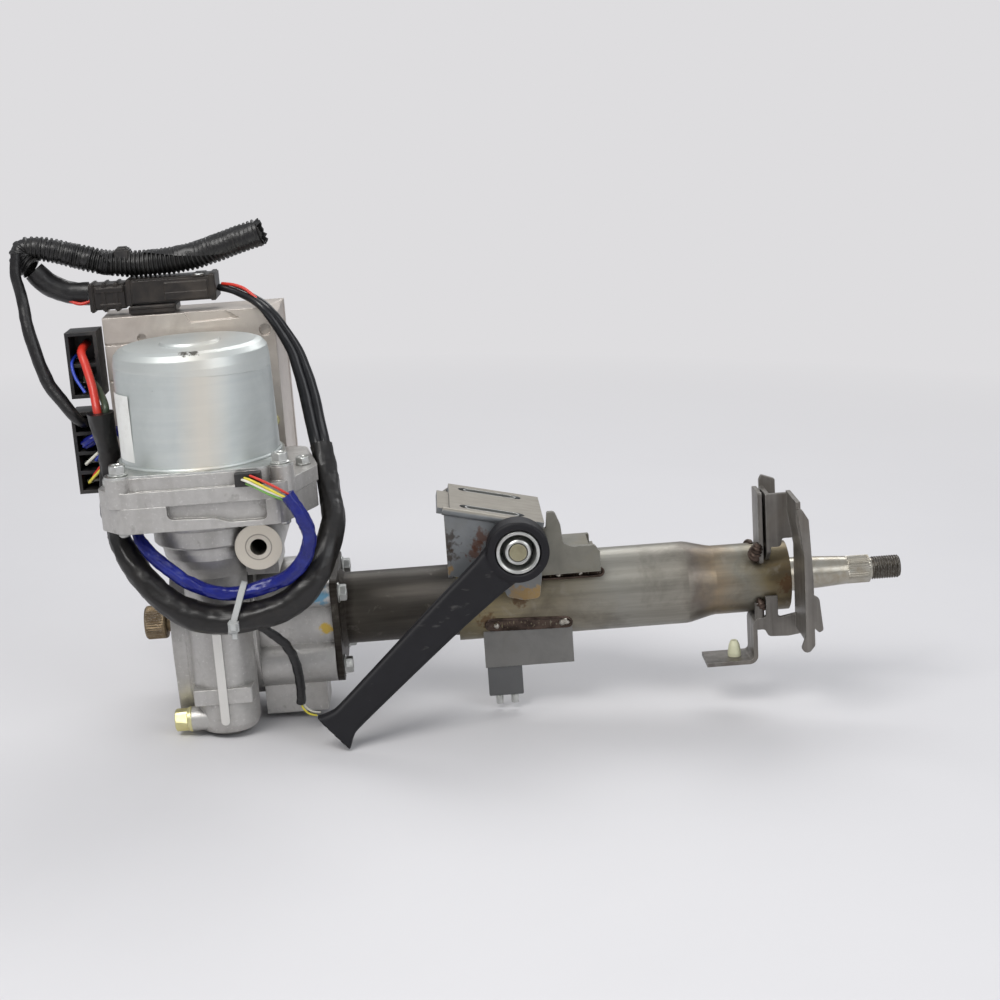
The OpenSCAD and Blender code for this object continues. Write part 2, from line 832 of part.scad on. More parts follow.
module motor_adapter() {
    color("silver")
        placed()
            difference() {
                union() {
                    translate([0, 0, flange_top_z])
                        linear_extrude(adapter_step)
                            rounded_outline(adapter_corners);
                    translate([0, 0, flange_top_z])
                        linear_extrude(adapter_t)
                            adapter_top_outline();
                }
                translate([0, worm_y, can_z0])
                    cylinder(r = can_r + 0.05, h = adapter_t);
                translate([0, worm_y, flange_top_z - 1])
                    cylinder(r = motor_low_bearing[0], h = adapter_t);
                for (b = motor_bolts)
                    translate([b[0], b[1], flange_top_z - 1])
                        cylinder(r = screw_r, h = adapter_t + 4);
            }
}

module motor_bearings() {
    color("lightgray")
        placed()
            translate([0, worm_y, 0]) {
                translate([0, 0, can_z0 - motor_low_bearing[2]])
                    bearing(motor_low_bearing);
                translate([0, 0, can_top_z - can_wall - motor_top_bearing[2]])
                    bearing(motor_top_bearing);
            }
}

module motor_bolts() {
    color("gainsboro")
        placed()
            for (b = motor_bolts)
                translate([b[0], b[1], bolt_seat(b)])
                    hex_screw(screw_head_r, screw_head_h, screw_r, bolt_seat(b) - flange_z - 2);
}

module sensor_housing() {
    lobe_r = 14;
    color("silver")
        placed()
            difference() {
                union() {
                    along_x(sensor_x0)
                        cylinder(r = sensor_r, h = sensor_len);
                    translate([sensor_x0, -24, -22])
                        along_x()
                            cylinder(r = lobe_r, h = sensor_len);
                    translate([sensor_x0, -30, -52])
                        cube([36, 30, 24]);
                    for (hole = flange_holes)
                        translate([sensor_x1 - 20, hole[0], hole[1]])
                            along_x()
                                cylinder(r = 8, h = 20);
                }
                along_x(sensor_x0 - 1)
                    cylinder(r = sensor_cavity_r, h = sensor_len - 15 + 1);
                along_x(sensor_x0 - 1)
                    cylinder(r = input_bearing[1] + 1, h = sensor_len + 2);
                along_x(input_seat_x)
                    cylinder(r = input_bearing[0], h = sensor_len);
                for (hole = flange_holes)
                    translate([sensor_x1 - 12, hole[0], hole[1]])
                        along_x()
                            cylinder(r = screw_r, h = 14);
            }
}

module sensor_coils() {
    color("saddlebrown")
        placed()
            along_x(sensor_x0 + 8)
                difference() {
                    ring(sensor_cavity_r, input_bearing[1] + 1.5, 18);
                    for (z = [3, 11])
                        translate([0, 0, z])
                            ring(sensor_cavity_r + 1, sensor_cavity_r - 3, 4);
                }
}

module input_bearing() {
    color("lightgray")
        placed()
            along_x(input_seat_x)
                bearing(input_bearing);
}

module lower_tube() {
    color("dimgray")
        placed()
            difference() {
                union() {
                    along_x(sensor_x1)
                        cylinder(r = lower_tube_r, h = lower_tube_x1 - sensor_x1);
                    cross_sheet(sensor_x1, tube_flange_t)
                        hull()
                            for (hole = flange_holes)
                                translate(hole)
                                    circle(r = 9, $fn = hull_fn);
                    along_x(flange_x1 - eps)
                        cylinder(r1 = lower_tube_r + 3, r2 = lower_tube_r, h = 3);
                }
                along_x(sensor_x1 - 1)
                    cylinder(r = lower_tube_r - lower_tube_wall, h = lower_tube_x1 - sensor_x1 + 2);
                for (hole = flange_holes)
                    translate([sensor_x1 - 1, hole[0], hole[1]])
                        along_x()
                            cylinder(r = screw_r, h = tube_flange_t + 2);
            }
}

module flange_bolts() {
    color("gainsboro")
        placed()
            for (hole = flange_holes)
                translate([flange_x1, hole[0], hole[1]])
                    along_x()
                        hex_screw(screw_head_r, screw_head_h, screw_r, tube_flange_t + 11);
}

// Bolt with a washer at the foot of the worm housing
module jack_bolt() {
    color("khaki")
        placed()
            translate([case_x0, worm_y - 8, -43])
                rotate([0, -90, 0]) {
                    cylinder(r = 7.2, h = 1.5);
                    translate([0, 0, 1.5])
                        hex_screw(6.6, 8, screw_r + 1, 7.4);
                }
}

module slide_liner() {
    color("white")
        placed()
            along_x(tube_start + 4)
                ring(liner_r, lower_tube_r, tube_overlap - 6);
}

module outer_tube() {
    x1 = tube_start + tube_wide_len;
    inner_neck = neck_r - outer_tube_wall;
    color("gray")
        placed()
            along_x()
                rotate_extrude()
                    polygon([
                        [outer_bore_r, tube_start], [outer_tube_r, tube_start], [outer_tube_r, x1],
                        [outer_tube_r - 0.5, x1 + 3], [neck_r + 0.5, neck_x0 - 3], [neck_r, neck_x0],
                        [neck_r, neck_x1], [inner_neck, neck_x1], [inner_neck, neck_x0 - 1],
                        [outer_bore_r, x1 - 1]
                    ]);
}

module upper_bearing() {
    color("lightgray")
        placed()
            along_x(upper_bearing_x)
                bearing(upper_bearing);
}

module upper_shaft() {
    color("lightgray")
        placed()
            difference() {
                along_x()
                    rotate_extrude()
                        polygon([
                            [0, socket_x0], [upper_tube_r, socket_x0], [upper_tube_r, socket_x1 + 12],
                            [upper_shaft_r, socket_x1 + 16], [upper_shaft_r, shaft_step_x],
                            [taper_r, taper_x0], [serration_r, serration_x0],
                            [serration_r, thread_x0 - 2], [thread_r - 0.7, thread_x0 - 1.5],
                            [thread_r - 0.7, thread_x0 - 0.5], [thread_r, thread_x0],
                            [thread_r, thread_x1 - 1], [thread_r - 1, thread_x1], [0, thread_x1]
                        ]);
                along_x(socket_x0 - 1)
                    double_flat(lower_shaft_r + running_gap, lower_shaft_flats + 2 * running_gap,
                                socket_x1 - socket_x0 + 1);
            }
}

// Side outlines of the bracket that carries the clamp bolt on the jacket: the near cheek has a
// stop that stands up behind the mounting plate, and the far one is low behind the bolt
module clamp_cheek_outline(near) {
    foot_z = 19;
    front = [
        [clamp_x - 20, foot_z, 0], [clamp_x - 20, clamp_z + 1, 3], [clamp_x - 12, clamp_z + 7.5, 3]
    ];
    stop = [
        [clamp_x + 17.5, clamp_z + 7.5, 1], [clamp_x + 18.5, clamp_z + 17, 1], [clamp_x + 23, clamp_z + 17, 2.5],
        [clamp_x + 26, clamp_z + 9, 2], [clamp_x + 27, clamp_z - 2, 3], [clamp_x + 32, clamp_z - 4.5, 3],
        [clamp_x + 45, clamp_z - 4.5, 2], [clamp_x + 48, clamp_z - 8.5, 1], [clamp_x + 48, foot_z, 0]
    ];
    low = [
        [clamp_x + 12, clamp_z + 7.5, 4], [clamp_x + 19, 27.6, 3], [clamp_x + 46, 27.6, 1], [clamp_x + 46, foot_z, 0]
    ];
    difference() {
        polygon(rounded(concat(front, near ? stop : low)));
        translate([clamp_x, clamp_z])
            circle(r = clamp_bolt_r + running_gap);
    }
}

// Clamp bracket: two cheeks, the feet that fold in to the jacket and the bridge over the tube
module clamp_bracket() {
    color("gray")
        placed()
            difference() {
                union() {
                    side_sheet(-clamp_half_w, clamp_plate_t)
                        clamp_cheek_outline(true);
                    side_sheet(clamp_half_w - clamp_plate_t, clamp_plate_t)
                        clamp_cheek_outline(false);
                    translate([clamp_x - 20, -clamp_half_w, 19])
                        cube([68, 2 * clamp_half_w, clamp_plate_t]);
                    translate([clamp_x + 20, -clamp_half_w, 24.6])
                        cube([24, 2 * clamp_half_w, clamp_plate_t]);
                }
                along_x(clamp_x - 40)
                    cylinder(r = outer_tube_r, h = 110);
            }
}

module clamp_bolt() {
    head_y = side_y + clamp_plate_t + side_gap;
    color("khaki")
        placed()
            translate([clamp_x, hub_y + 1, clamp_z])
                along_y() {
                    cylinder(r = clamp_bolt_r, h = head_y - hub_y - 1);
                    translate([0, 0, head_y - hub_y - 1])
                        cylinder(r = 9, h = 7, $fn = 6);
                }
}

module clamp_spacer() {
    inner_half = clamp_half_w - clamp_plate_t;
    color("darkgray")
        placed()
            translate([clamp_x, -inner_half, clamp_z])
                along_y()
                    ring(clamp_bolt_r + 2.5, clamp_bolt_r + running_gap, 2 * inner_half);
}

module cam_plate() {
    color("khaki")
        placed()
            translate([clamp_x, cam_y, clamp_z])
                along_y()
                    ring(10, clamp_bolt_r + running_gap, cam_t);
}

// Nut with its cup washer, sunk in the face of the lever hub
module clamp_nut() {
    color("gainsboro")
        placed()
            translate([clamp_x, hub_y + 0.5, clamp_z])
                along_y()
                    difference() {
                        union() {
                            cylinder(r = 9, h = 8, $fn = 6);
                            translate([0, 0, 6])
                                cylinder(r = 12.6, h = lever_hub_t - 10);
                            ring(12.6, 10.6, 8);
                        }
                        translate([0, 0, -1])
                            cylinder(r = clamp_bolt_r + running_gap, h = 30);
                    }
}

// Centre line of the lever arm: [x, y, z, width] from the hub to the foot
lever_route = [
    [clamp_x, hub_y + 9, clamp_z, 30], [clamp_x - 17, -46, clamp_z - 12.8, 24],
    [clamp_x - 60, -60, clamp_z - 46.7, 20], [clamp_x - 105, -78, clamp_z - 82.5, 17]
];

// Slice across the lever arm at one point of its centre line
module lever_end(point, way, width) {
    translate([point[0], point[1], point[2]])
        rotate([0, -atan2(way[2], way[0]), 0])
            translate([-1.5, -lever_t / 2, -width / 2])
                cube([3, lever_t, width]);
}

module lever() {
    color("#202226")
        placed()
            difference() {
                union() {
                    translate([clamp_x, hub_y, clamp_z])
                        along_y()
                            cylinder(r = lever_hub_r, h = lever_hub_t);
                    for (i = [0 : len(lever_route) - 2])
                        hull() {
                            lever_end(lever_route[i], lever_route[i + 1] - lever_route[i], lever_route[i][3]);
                            lever_end(lever_route[i + 1], lever_route[i + 1] - lever_route[i], lever_route[i + 1][3]);
                        }
                    lever_foot();
                }
                translate([clamp_x, hub_y - 1, clamp_z])
                    along_y()
                        cylinder(r = 12.6, h = lever_hub_t - 2.5);
                translate([clamp_x, hub_y - 1, clamp_z])
                    along_y()
                        cylinder(r = clamp_bolt_r + 1, h = lever_hub_t + 2);
            }
}

// Flared foot that ends in a straight lip across the arm
module lever_foot() {
    foot = lever_route[3];
    way = [-0.745, 0, -0.667];
    hull() {
        lever_end(foot, way, 17);
        lever_end(foot + 7 * [way[0], -0.3, way[2]], way, 27);
    }
}

// Side outline of one cheek of the tilt bracket
module tilt_cheek_outline() {
    polygon(rounded([
        [mount_x0 - 3, mount_z0 - 1.5, 0], [mount_x0 - 3, 24, 2], [mount_x0 + 6, 22, 2], [mount_x0 + 14, 33, 4],
        [clamp_x - 12, 20, 4], [clamp_x - 7, 8.5, 3], [clamp_x + 2, 6, 4], [clamp_x + 11.5, 6.5, 3],
        [clamp_x + 13.5, 20, 4], [clamp_x + 12, mount_z0 - 10.8, 0], [mount_x0, mount_z0 + 0.4, 0]
    ]));
}

// Curved slot for the clamp bolt, centred on the tilt pivot
module tilt_slot() {
    translate([pivot_x, -side_y - 10, pivot_z])
        along_y() {
            rotate([0, 0, clamp_angle])
                rotate_extrude(angle = tilt_range)
                    translate([clamp_arm - slot_r, 0])
                        square([2 * slot_r, 2 * side_y + 20]);
            for (turn = [0, tilt_range])
                rotate([0, 0, clamp_angle + turn])
                    translate([clamp_arm, 0, 0])
                        cylinder(r = slot_r, h = 2 * side_y + 20);
        }
}

module tilt_bracket() {
    color("darkgray")
        placed()
            difference() {
                union() {
                    for (side = [-1, 1])
                        side_sheet(side > 0 ? side_y : -side_y - clamp_plate_t, clamp_plate_t)
                            tilt_cheek_outline();
                    for (side = [-1, 1])
                        translate([mount_x0 - 3, side > 0 ? side_y - 3 : -side_y, 22])
                            cube([2.5, 3, 38]);
                    translate([mount_x0, 0, mount_z0])
                        rotate([0, mount_slope, 0]) {
                            translate([0, -mount_w / 2, 0])
                                cube([mount_len, mount_w, mount_t]);
                            translate([-7, -mount_w / 2 + 4, -2])
                                cube([10, mount_w - 20, 3.5]);
                            translate([-4, -mount_w / 2 + 0.6, 0.8])
                                rotate([0, 90, 0])
                                    cylinder(r = 2.4, h = mount_len - 6);
                        }
                }
                tilt_slot();
                translate([mount_x0, 0, mount_z0])
                    rotate([0, mount_slope, 0])
                        for (side = [-1, 1])
                            translate([6 + slot_w / 2, side * slot_spacing / 2, -2])
                                mount_slot(slot_w / 2, slot_len - slot_w, mount_t + 4);
            }
}

// Slot with round ends, drawn along X from the centre of its first end
module mount_slot(r, length, height) {
    cylinder(r = r, h = height);
    translate([length, 0, 0])
        cylinder(r = r, h = height);
    translate([0, -r, 0])
        cube([length, 2 * r, height]);
}

// Coated sliders that sit in the mounting slots and let go in a crash
module slot_sliders() {
    color("gainsboro")
        placed()
            translate([mount_x0, 0, mount_z0])
                rotate([0, mount_slope, 0])
                    for (side = [-1, 1])
                        translate([6 + slot_w / 2 + 3, side * slot_spacing / 2, 0])
                            difference() {
                                mount_slot(slot_w / 2, slot_len - slot_w - 6, mount_t);
                                translate([0, 0, -1])
                                    mount_slot(slot_w / 2 - 1, slot_len - slot_w - 6, mount_t + 2);
                            }
}

module lower_bracket() {
    x0 = lower_bracket_x;
    x1 = x0 + lower_bracket_len;
    color("gray")
        placed()
            difference() {
                union() {
                    side_sheet(-19, sheet_t)
                        polygon(rounded([[x0, -38, 1.5], [x1, -38, 1.5], [x1, -14, 0], [x0, -14, 0]]));
                    side_sheet(-18, sheet_t)
                        polygon(rounded([
                            [x0 + 1, -56, 1], [x0 + 21.5, -56, 1], [x0 + 21.5, -36, 0], [x0 + 1, -36, 0]
                        ]));
                    translate([x0, -19, -38])
                        cube([lower_bracket_len, 12, sheet_t]);
                }
                along_x(x0 - 10)
                    cylinder(r = outer_tube_r, h = lower_bracket_len + 20);
            }
}

// Two studs pressed into the lower tab
module bracket_studs() {
    color("gainsboro")
        placed()
            for (dx = [7, 16])
                translate([lower_bracket_x + dx, -18 + sheet_t / 2, -61])
                    cylinder(r = 2.2, h = 5);
}

module end_bracket() {
    x0 = end_bracket_x;
    fold_y = -22.5;
    near_y = -50;
    color("dimgray")
        placed()
            difference() {
                union() {
                    cross_sheet(x0, sheet_t)
                        polygon(rounded([[fold_y, 14, 3], [fold_y, 57, 1.5], [-3, 57, 1.5], [-3, 12, 0]]));
                    cross_sheet(x0 + 4.5, sheet_t)
                        polygon(rounded([[fold_y, 21, 3], [fold_y, 56, 1], [0, 56, 1], [0, 12, 0], [-12, 12, 0]]));
                    side_sheet(-6, sheet_t)
                        polygon([[x0, 22], [x0 + 7, 22], [x0 + 7, 55], [x0, 55]]);
                    side_sheet(fold_y, sheet_t)
                        polygon(rounded([
                            [x0 + 4.5, 24, 2], [x0 + 13, 24, 2.5], [x0 + 13.5, 29, 1.5], [x0 + 20, 29, 0],
                            [x0 + 20, 56, 1], [x0 + 4.5, 56, 1]
                        ]));
                    side_sheet(-sheet_t, sheet_t)
                        polygon(rounded([
                            [x0 + 4.5, 48, 0], [x0 + 14, 48, 0], [x0 + 14, 60, 1], [x0 + 6, 63, 1], [x0 + 4.5, 60, 0]
                        ]));
                    end_leg(x0, near_y, fold_y);
                    end_foot(x0, fold_y);
                }
                along_x(x0 - 40)
                    cylinder(r = neck_r, h = 60);
            }
}

// Leg that passes the shaft on the viewer's side, with its folded edge and fin
module end_leg(x0, near_y, fold_y) {
    side_sheet(near_y, fold_y + sheet_t - near_y)
        polygon([
            [x0 + 17, 57], [x0 + 17, 45], [x0 + 20.5, 25], [x0 + 20.5, -26], [x0 + 23, -26],
            [x0 + 23, 25.3], [x0 + 19.5, 45.3], [x0 + 19.5, 57]
        ]);
    side_sheet(near_y - sheet_t + eps, sheet_t)
        polygon(rounded([
            [x0 + 17, 54, 1], [x0 + 20, 53, 2], [x0 + 23.5, 47, 2], [x0 + 25.5, 10, 0], [x0 + 25.5, -28, 2.5],
            [x0 + 21.5, -33, 3], [x0 + 17.5, -30, 2.5], [x0 + 20.5, -22, 3], [x0 + 20.5, 25, 0]
        ]));
    side_sheet(near_y - sheet_t + eps, sheet_t)
        polygon(rounded([
            [x0 + 24, 3, 0], [x0 + 28.5, 0, 2], [x0 + 30.5, -19, 1.5], [x0 + 28, -20.5, 1.5], [x0 + 24, -16, 0]
        ]));
}

// Arm under the neck with its two posts, and the stepped foot that carries the clip
module end_foot(x0, fold_y) {
    side_sheet(fold_y, sheet_t)
        polygon(rounded([
            [x0 - 4, -19, 3], [x0 + 3, -19, 2], [x0 + 3, -6, 0], [x0 + 10, -6, 0], [x0 + 10, -19.5, 2],
            [x0 + 23, -17, 0], [x0 + 23, -30, 0], [x0 + 16, -31, 3], [x0 + 4, -30.5, 3], [x0 + 2, -26, 2],
            [x0 - 4, -26, 0]
        ]));
    side_sheet(fold_y, 22)
        polygon(rounded([
            [x0 + 3, -19, 0], [x0 - 5, -19, 5], [x0 - 5, -44.5, 2.5], [x0 - 33, -44.5, 0], [x0 - 33, -47, 0],
            [x0 - 2.5, -47, 5], [x0 - 2.5, -21.5, 2.5], [x0 + 3, -21.5, 0]
        ]));
    for (dx = [-0.5, 6.5])
        translate([x0 + dx, fold_y + 3, -26])
            cylinder(r = 2.8, h = 16);
}

// Push-in clip on the foot
module foot_clip() {
    color("beige")
        placed()
            translate([end_bracket_x - 15, -11.5, -44.5])
                rotate_extrude()
                    polygon([[0, 0], [4, 0], [4, 2], [3.2, 7], [2, 9.5], [0, 9.5]]);
}

// Controller: a drafted case on a flat base plate
module controller_case() {
    color("silver")
        placed()
            difference() {
                hull() {
                    translate([ecu_x0 + 1, rear_face_y, ecu_z0 + 6])
                        cube([ecu_w - 10, 1, ecu_h - 6]);
                    translate([ecu_x0 + 1, rear_face_y, ecu_z0 + 6])
                        cube([ecu_w - 4, 1, ecu_h - 14]);
                    translate([ecu_x0, rear_face_y + ecu_d - ecu_base_t - 1, ecu_z0])
                        cube([ecu_w, 1, ecu_h]);
                }
                translate([ecu_x0 + 7, rear_face_y + ecu_wall + 2, ecu_z0 + 11])
                    cube([ecu_w - 15, ecu_d, ecu_h - 26]);
                controller_marks();
            }
}

// Grooves, screw holes and the sunk window in the face of the controller case
module controller_marks() {
    face_y = rear_face_y - 1;
    translate([ecu_x0 - 1, face_y, ecu_z0 + ecu_h - 16])
        cube([19.5, 2, 1.2]);
    translate([ecu_x0 - 1, face_y, ecu_z0 + ecu_h - 37])
        cube([12.5, 2, 1.2]);
    for (p = [[ecu_x0 + 22.5, ecu_z0 + ecu_h - 13, 2.6], [ecu_x0 + ecu_w - 9, ecu_z0 + ecu_h - 13, 3.4]])
        translate([p[0], face_y, p[1]])
            along_y()
                cylinder(r = p[2], h = 4);
    side_sheet(face_y, 3)
        polygon([
            [ecu_x0 + 47, ecu_z0 + ecu_h + 1], [ecu_x0 + 51, ecu_z0 + ecu_h - 6], [ecu_x0 + 79, ecu_z0 + ecu_h - 5],
            [ecu_x0 + 70, ecu_z0 + ecu_h + 1]
        ]);
}

module controller_base() {
    color("silver")
        placed()
            translate([ecu_x0 - 1, rear_face_y + ecu_d - ecu_base_t, ecu_z0])
                cube([ecu_w + 1.5, ecu_base_t, ecu_h]);
}

module controller_board() {
    color("darkgreen")
        placed()
            translate([ecu_x0 + 8, rear_face_y + ecu_d - ecu_base_t - 2, ecu_z0 + 12])
                cube([ecu_w - 17, 2, ecu_h - 28]);
}

module controller_screws() {
    color("khaki")
        placed()
            for (p = [[ecu_x0 + 10, ecu_z0 + 69], [ecu_x0 + 8, ecu_z0 + 28], [ecu_x0 + ecu_w - 9, ecu_z0 + 26]])
                translate([p[0], rear_face_y, p[1]])
                    rotate([90, 0, 0])
                        cylinder(r = 3.5, h = 2.2);
}

// Open connector housing with a wall between its two chambers
module connector_box(size, wall, chambers) {
    step = (size[2] - wall) / chambers;
    difference() {
        cube(size);
        for (i = [0 : chambers - 1])
            translate([wall, -1, wall + i * step])
                cube([size[0] - 2 * wall, size[1] - wall + 1, step - wall]);
    }
}

module power_connector() {
    color("#181818")
        placed()
            translate([-76, rear_face_y - 7, ecu_z0 + ecu_h - 44])
                connector_box([18, 20, 38], 2, 2);
}

module signal_connector() {
    color("#181818")
        placed()
            translate([-78, rear_face_y - 7, ecu_z0 - 8])
                connector_box([15, 20, 48], 2, 4);
}

module sensor_connector() {
    color("#181818")
        placed()
            translate([23, -97, adapter_top_z - 7.4])
                cube([14, 5.6, 7]);
}

module loom_plug() {
    color("#1c1c1c")
        placed()
            translate([-62, 8, ecu_z0 + ecu_h + 5])
                cube([22, 20, 15]);
}

module loom_socket() {
    color("#181818")
        placed()
            translate([-40, 6, ecu_z0 + ecu_h + 5]) {
                cube([51, 23, 16]);
                translate([0, -1, -4.6])
                    cube([28, 20, 4.7]);
            }
}

// Routes of the leads, chosen by hand: [x, y, z, radius]
loom_route = [
    [-93.5, 15.5, 212, 6], [-99, 17, 217, 6], [-97, 19, 223, 6], [-86, 20, 222, 6.2], [-69, 21, 217, 6.4],
    [-50, 21, 211.5, 6.5], [-27, 21, 210, 6.5], [-6, 21, 211.5, 6.5], [12, 20, 216, 6.5], [38, 18, 223.5, 6.7]
];
taped_route = [[-63.2, 18, 195, 7], [-74, 17.5, 196.5, 7], [-85, 16.5, 202, 7], [-92.5, 15.5, 210.5, 6.5]];
side_route = [
    [-99.5, 7, 222, 3], [-101, 6, 210, 3.4], [-99, 6, 195, 3.6], [-96, 0, 176, 3.8], [-89, -5, 151, 4],
    [-80, -9, 137, 4], [-74, -11, 129, 3.6], [-70.5, -6, 124, 3.2], [-70.5, 10, 123.2, 3.2],
    [-70.5, 13.9, 123.2, 3.2]
];
right_route = [
    [13.2, 14.5, 194, 3.5], [24, 9, 191, 3.6], [39, -3.2, 182.5, 4], [52, -5, 161, 4.8], [57, -8, 146, 5.5],
    [60, -11, 132, 6], [62, -14, 118, 6], [64, -18, 106, 6]
];
main_route = [
    [64.6, -19.5, 104, 6.5], [66.8, -28, 91, 6.5], [68.5, -40, 80, 6.8], [70, -53, 70, 7], [68, -64, 61, 7.5],
    [63, -72, 50, 8], [53, -76.5, 36, 8.3], [40, -78, 27, 8.5], [22, -78, 23, 8.5], [2, -78, 23, 8.5],
    [-15, -77.5, 29, 8.3], [-29, -75, 41, 8], [-40, -70, 55, 7.4], [-47, -61, 66, 6.6], [-51, -49, 71, 6],
    [-55, -38, 77, 6], [-56, -30, 86, 6], [-55.5, -24, 98, 6.2], [-54.5, -26, 110, 6.6], [-55, -30, 122, 7.2],
    [-55.5, -31, 134, 8]
];
red_route = [
    [-57.5, -30, 135.4, 2.4], [-60, -22, 147, 2.4], [-64, -13, 158, 2.4], [-67, -6, 165, 2.4], [-67, 8, 167, 2.4],
    [-67, 13.9, 167, 2.4]
];
green_route = [
    [-52.5, -30, 136.4, 2], [-56, -20, 142, 2], [-61, -11, 147.5, 2], [-66, -5, 149, 2], [-67, 8, 149, 2],
    [-67, 13.9, 149, 2]
];
blue_route = [
    [50, -97.8, 95, 4.3], [57, -97, 82, 4.3], [59, -91, 68, 4.3], [54, -85, 54.5, 4.3], [45, -81, 45, 4.3],
    [34, -78, 40, 4.3], [20, -77, 37, 4.3], [6, -77, 37.5, 4.3], [-9, -77, 44, 4.3], [-20, -77, 53, 4.2],
    [-29, -76, 62, 4], [-35, -70, 69, 3.7], [-38, -57, 73, 3.4], [-40, -40, 73.5, 3.3], [-42, -26, 73.5, 3.3],
    [-48.5, -16, 74, 3.3], [-48.5, -12, 82, 3.3], [-47.5, -10, 93, 3.3], [-46.5, -9, 106, 3.3],
    [-49, -8, 116, 3.3], [-56, -8.5, 119, 3.2], [-64, -9, 115.5, 3.2], [-70.5, -7, 112, 3.2], [-70.5, 8, 112, 3.2],
    [-70.5, 13.9, 112, 3.2]
];
sensor_route = [
    [25, -70.5, 14.9, 2.6], [31, -67.5, 9, 2.8], [38, -63, 0, 3], [42, -58, -13, 3], [43, -54, -28, 3], [42, -51, -39, 3]
];

module loom() {
    color("#1a1a1a")
        placed()
            cord_tube(loom_route, sides = 12);
}

module taped_leads() {
    color("#1a1a1a")
        placed()
            cord_tube(taped_route);
}

module side_lead() {
    color("#1a1a1a")
        placed()
            cord_tube(side_route);
}

module right_leads() {
    color("#1a1a1a")
        placed()
            cord_tube(right_route);
}

module main_sleeve() {
    color("#1a1a1a")
        placed()
            cord_tube(main_route, sides = 12);
}

module power_leads() {
    color("crimson")
        placed()
            cord_tube(red_route, sides = 8);
}

module ground_lead() {
    color("darkgreen")
        placed()
            cord_tube(green_route, sides = 8);
}

module blue_sleeve() {
    color("mediumblue")
        placed()
            cord_tube(blue_route);
}

module sensor_lead() {
    color("#1a1a1a")
        placed()
            cord_tube(sensor_route, sides = 8);
}

// Loop of the cable tie round both sleeves, in the end view
module tie_loop(r) {
    hull() {
        translate([-78, 22])
            circle(r = r, $fn = hull_fn);
        translate([-77, 37.5])
            circle(r = r - 4, $fn = hull_fn);
    }
}

module cable_tie() {
    color("whitesmoke")
        placed()
            translate([8, 0, 0])
                cross_sheet(0, 4)
                    difference() {
                        tie_loop(10);
                        tie_loop(9);
                    }
}

gear_housing();
housing_cover();
pivot_bush();
wheel_bearings();
worm_bearings();
worm_shaft();
wheel_rim();
wheel_hub();
output_shaft();
torsion_bar();
lower_shaft();
motor_coupling();
motor_rotor();
motor_stator();
motor_can();
motor_end_plate();
motor_adapter();
motor_bearings();
motor_bolts();
sensor_housing();
sensor_coils();
input_bearing();
lower_tube();
flange_bolts();
jack_bolt();
slide_liner();
outer_tube();
upper_bearing();
upper_shaft();
clamp_bracket();
clamp_bolt();
clamp_spacer();
cam_plate();
clamp_nut();
lever();
tilt_bracket();
slot_sliders();
lower_bracket();
bracket_studs();
end_bracket();
foot_clip();
controller_case();
controller_base();
controller_board();
controller_screws();
power_connector();
signal_connector();
sensor_connector();
loom_plug();
loom_socket();
loom();
taped_leads();
side_lead();
right_leads();
main_sleeve();
power_leads();
ground_lead();
blue_sleeve();
sensor_lead();
cable_tie();
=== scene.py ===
# %% [markdown]
# # An electric power steering column
#
# The part on the bench is the upper half of a car's steering: a worm gearbox with its electric motor
# at one end, the steering wheel's shaft at the other, and jacket tubes with a tilt clamp in between.
# Its pieces come from the CAD frame at their true size and place. This notebook gives each one its
# finish, and builds what CAD leaves plain: wires in their sleeves, serrations, threads, weld beads,
# bolt heads, stickers and the moulded lever.
#
# Everything is in metres in the frame's own axes. Nothing from the frame is moved.

import math

import bmesh
import bpy
from mathutils import Matrix, Vector, noise


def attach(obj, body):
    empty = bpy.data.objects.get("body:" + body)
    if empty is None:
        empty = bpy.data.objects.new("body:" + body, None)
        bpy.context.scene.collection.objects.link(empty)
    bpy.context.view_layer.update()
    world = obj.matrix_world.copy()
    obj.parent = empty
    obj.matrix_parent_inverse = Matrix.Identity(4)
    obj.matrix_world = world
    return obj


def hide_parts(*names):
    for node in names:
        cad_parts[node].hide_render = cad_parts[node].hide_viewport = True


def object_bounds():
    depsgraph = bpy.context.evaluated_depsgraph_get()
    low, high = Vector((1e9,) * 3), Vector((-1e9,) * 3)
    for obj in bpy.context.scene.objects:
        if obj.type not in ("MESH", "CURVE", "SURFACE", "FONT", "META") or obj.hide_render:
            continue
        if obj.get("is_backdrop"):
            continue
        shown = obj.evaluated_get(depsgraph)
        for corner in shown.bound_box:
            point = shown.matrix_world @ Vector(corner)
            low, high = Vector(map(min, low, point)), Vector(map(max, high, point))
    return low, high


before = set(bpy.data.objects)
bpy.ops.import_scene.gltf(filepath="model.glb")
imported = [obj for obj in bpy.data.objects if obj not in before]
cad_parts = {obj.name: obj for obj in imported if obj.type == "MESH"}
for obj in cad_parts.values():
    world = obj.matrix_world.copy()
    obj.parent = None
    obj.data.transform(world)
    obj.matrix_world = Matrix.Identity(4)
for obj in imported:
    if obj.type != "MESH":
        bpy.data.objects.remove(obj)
cad_box = [list(corner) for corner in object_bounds()]
floor_height = cad_box[0][2]
scene = bpy.context.scene

# %% [markdown]
# ## Two sets of axes
#
# The column lies at a slope, so its tubes aren't along any axis of the frame. Pieces are easier to
# think about in the column's own axes: X along the tubes, Z square to them, in millimetres, with
# zero where the motor's axis crosses the column's. One matrix takes such a point to the frame, and
# every mesh below is built in column millimetres and then passed through it.

# %% Column axes
MM = 0.001
COLUMN_TILT = math.radians(3.8)
PIVOT = Vector((29.5, 0, 61))
COLUMN = Matrix.Scale(MM, 4) @ Matrix.Rotation(-COLUMN_TILT, 4, "Y") @ Matrix.Translation(-PIVOT)
WORM_Y = -45


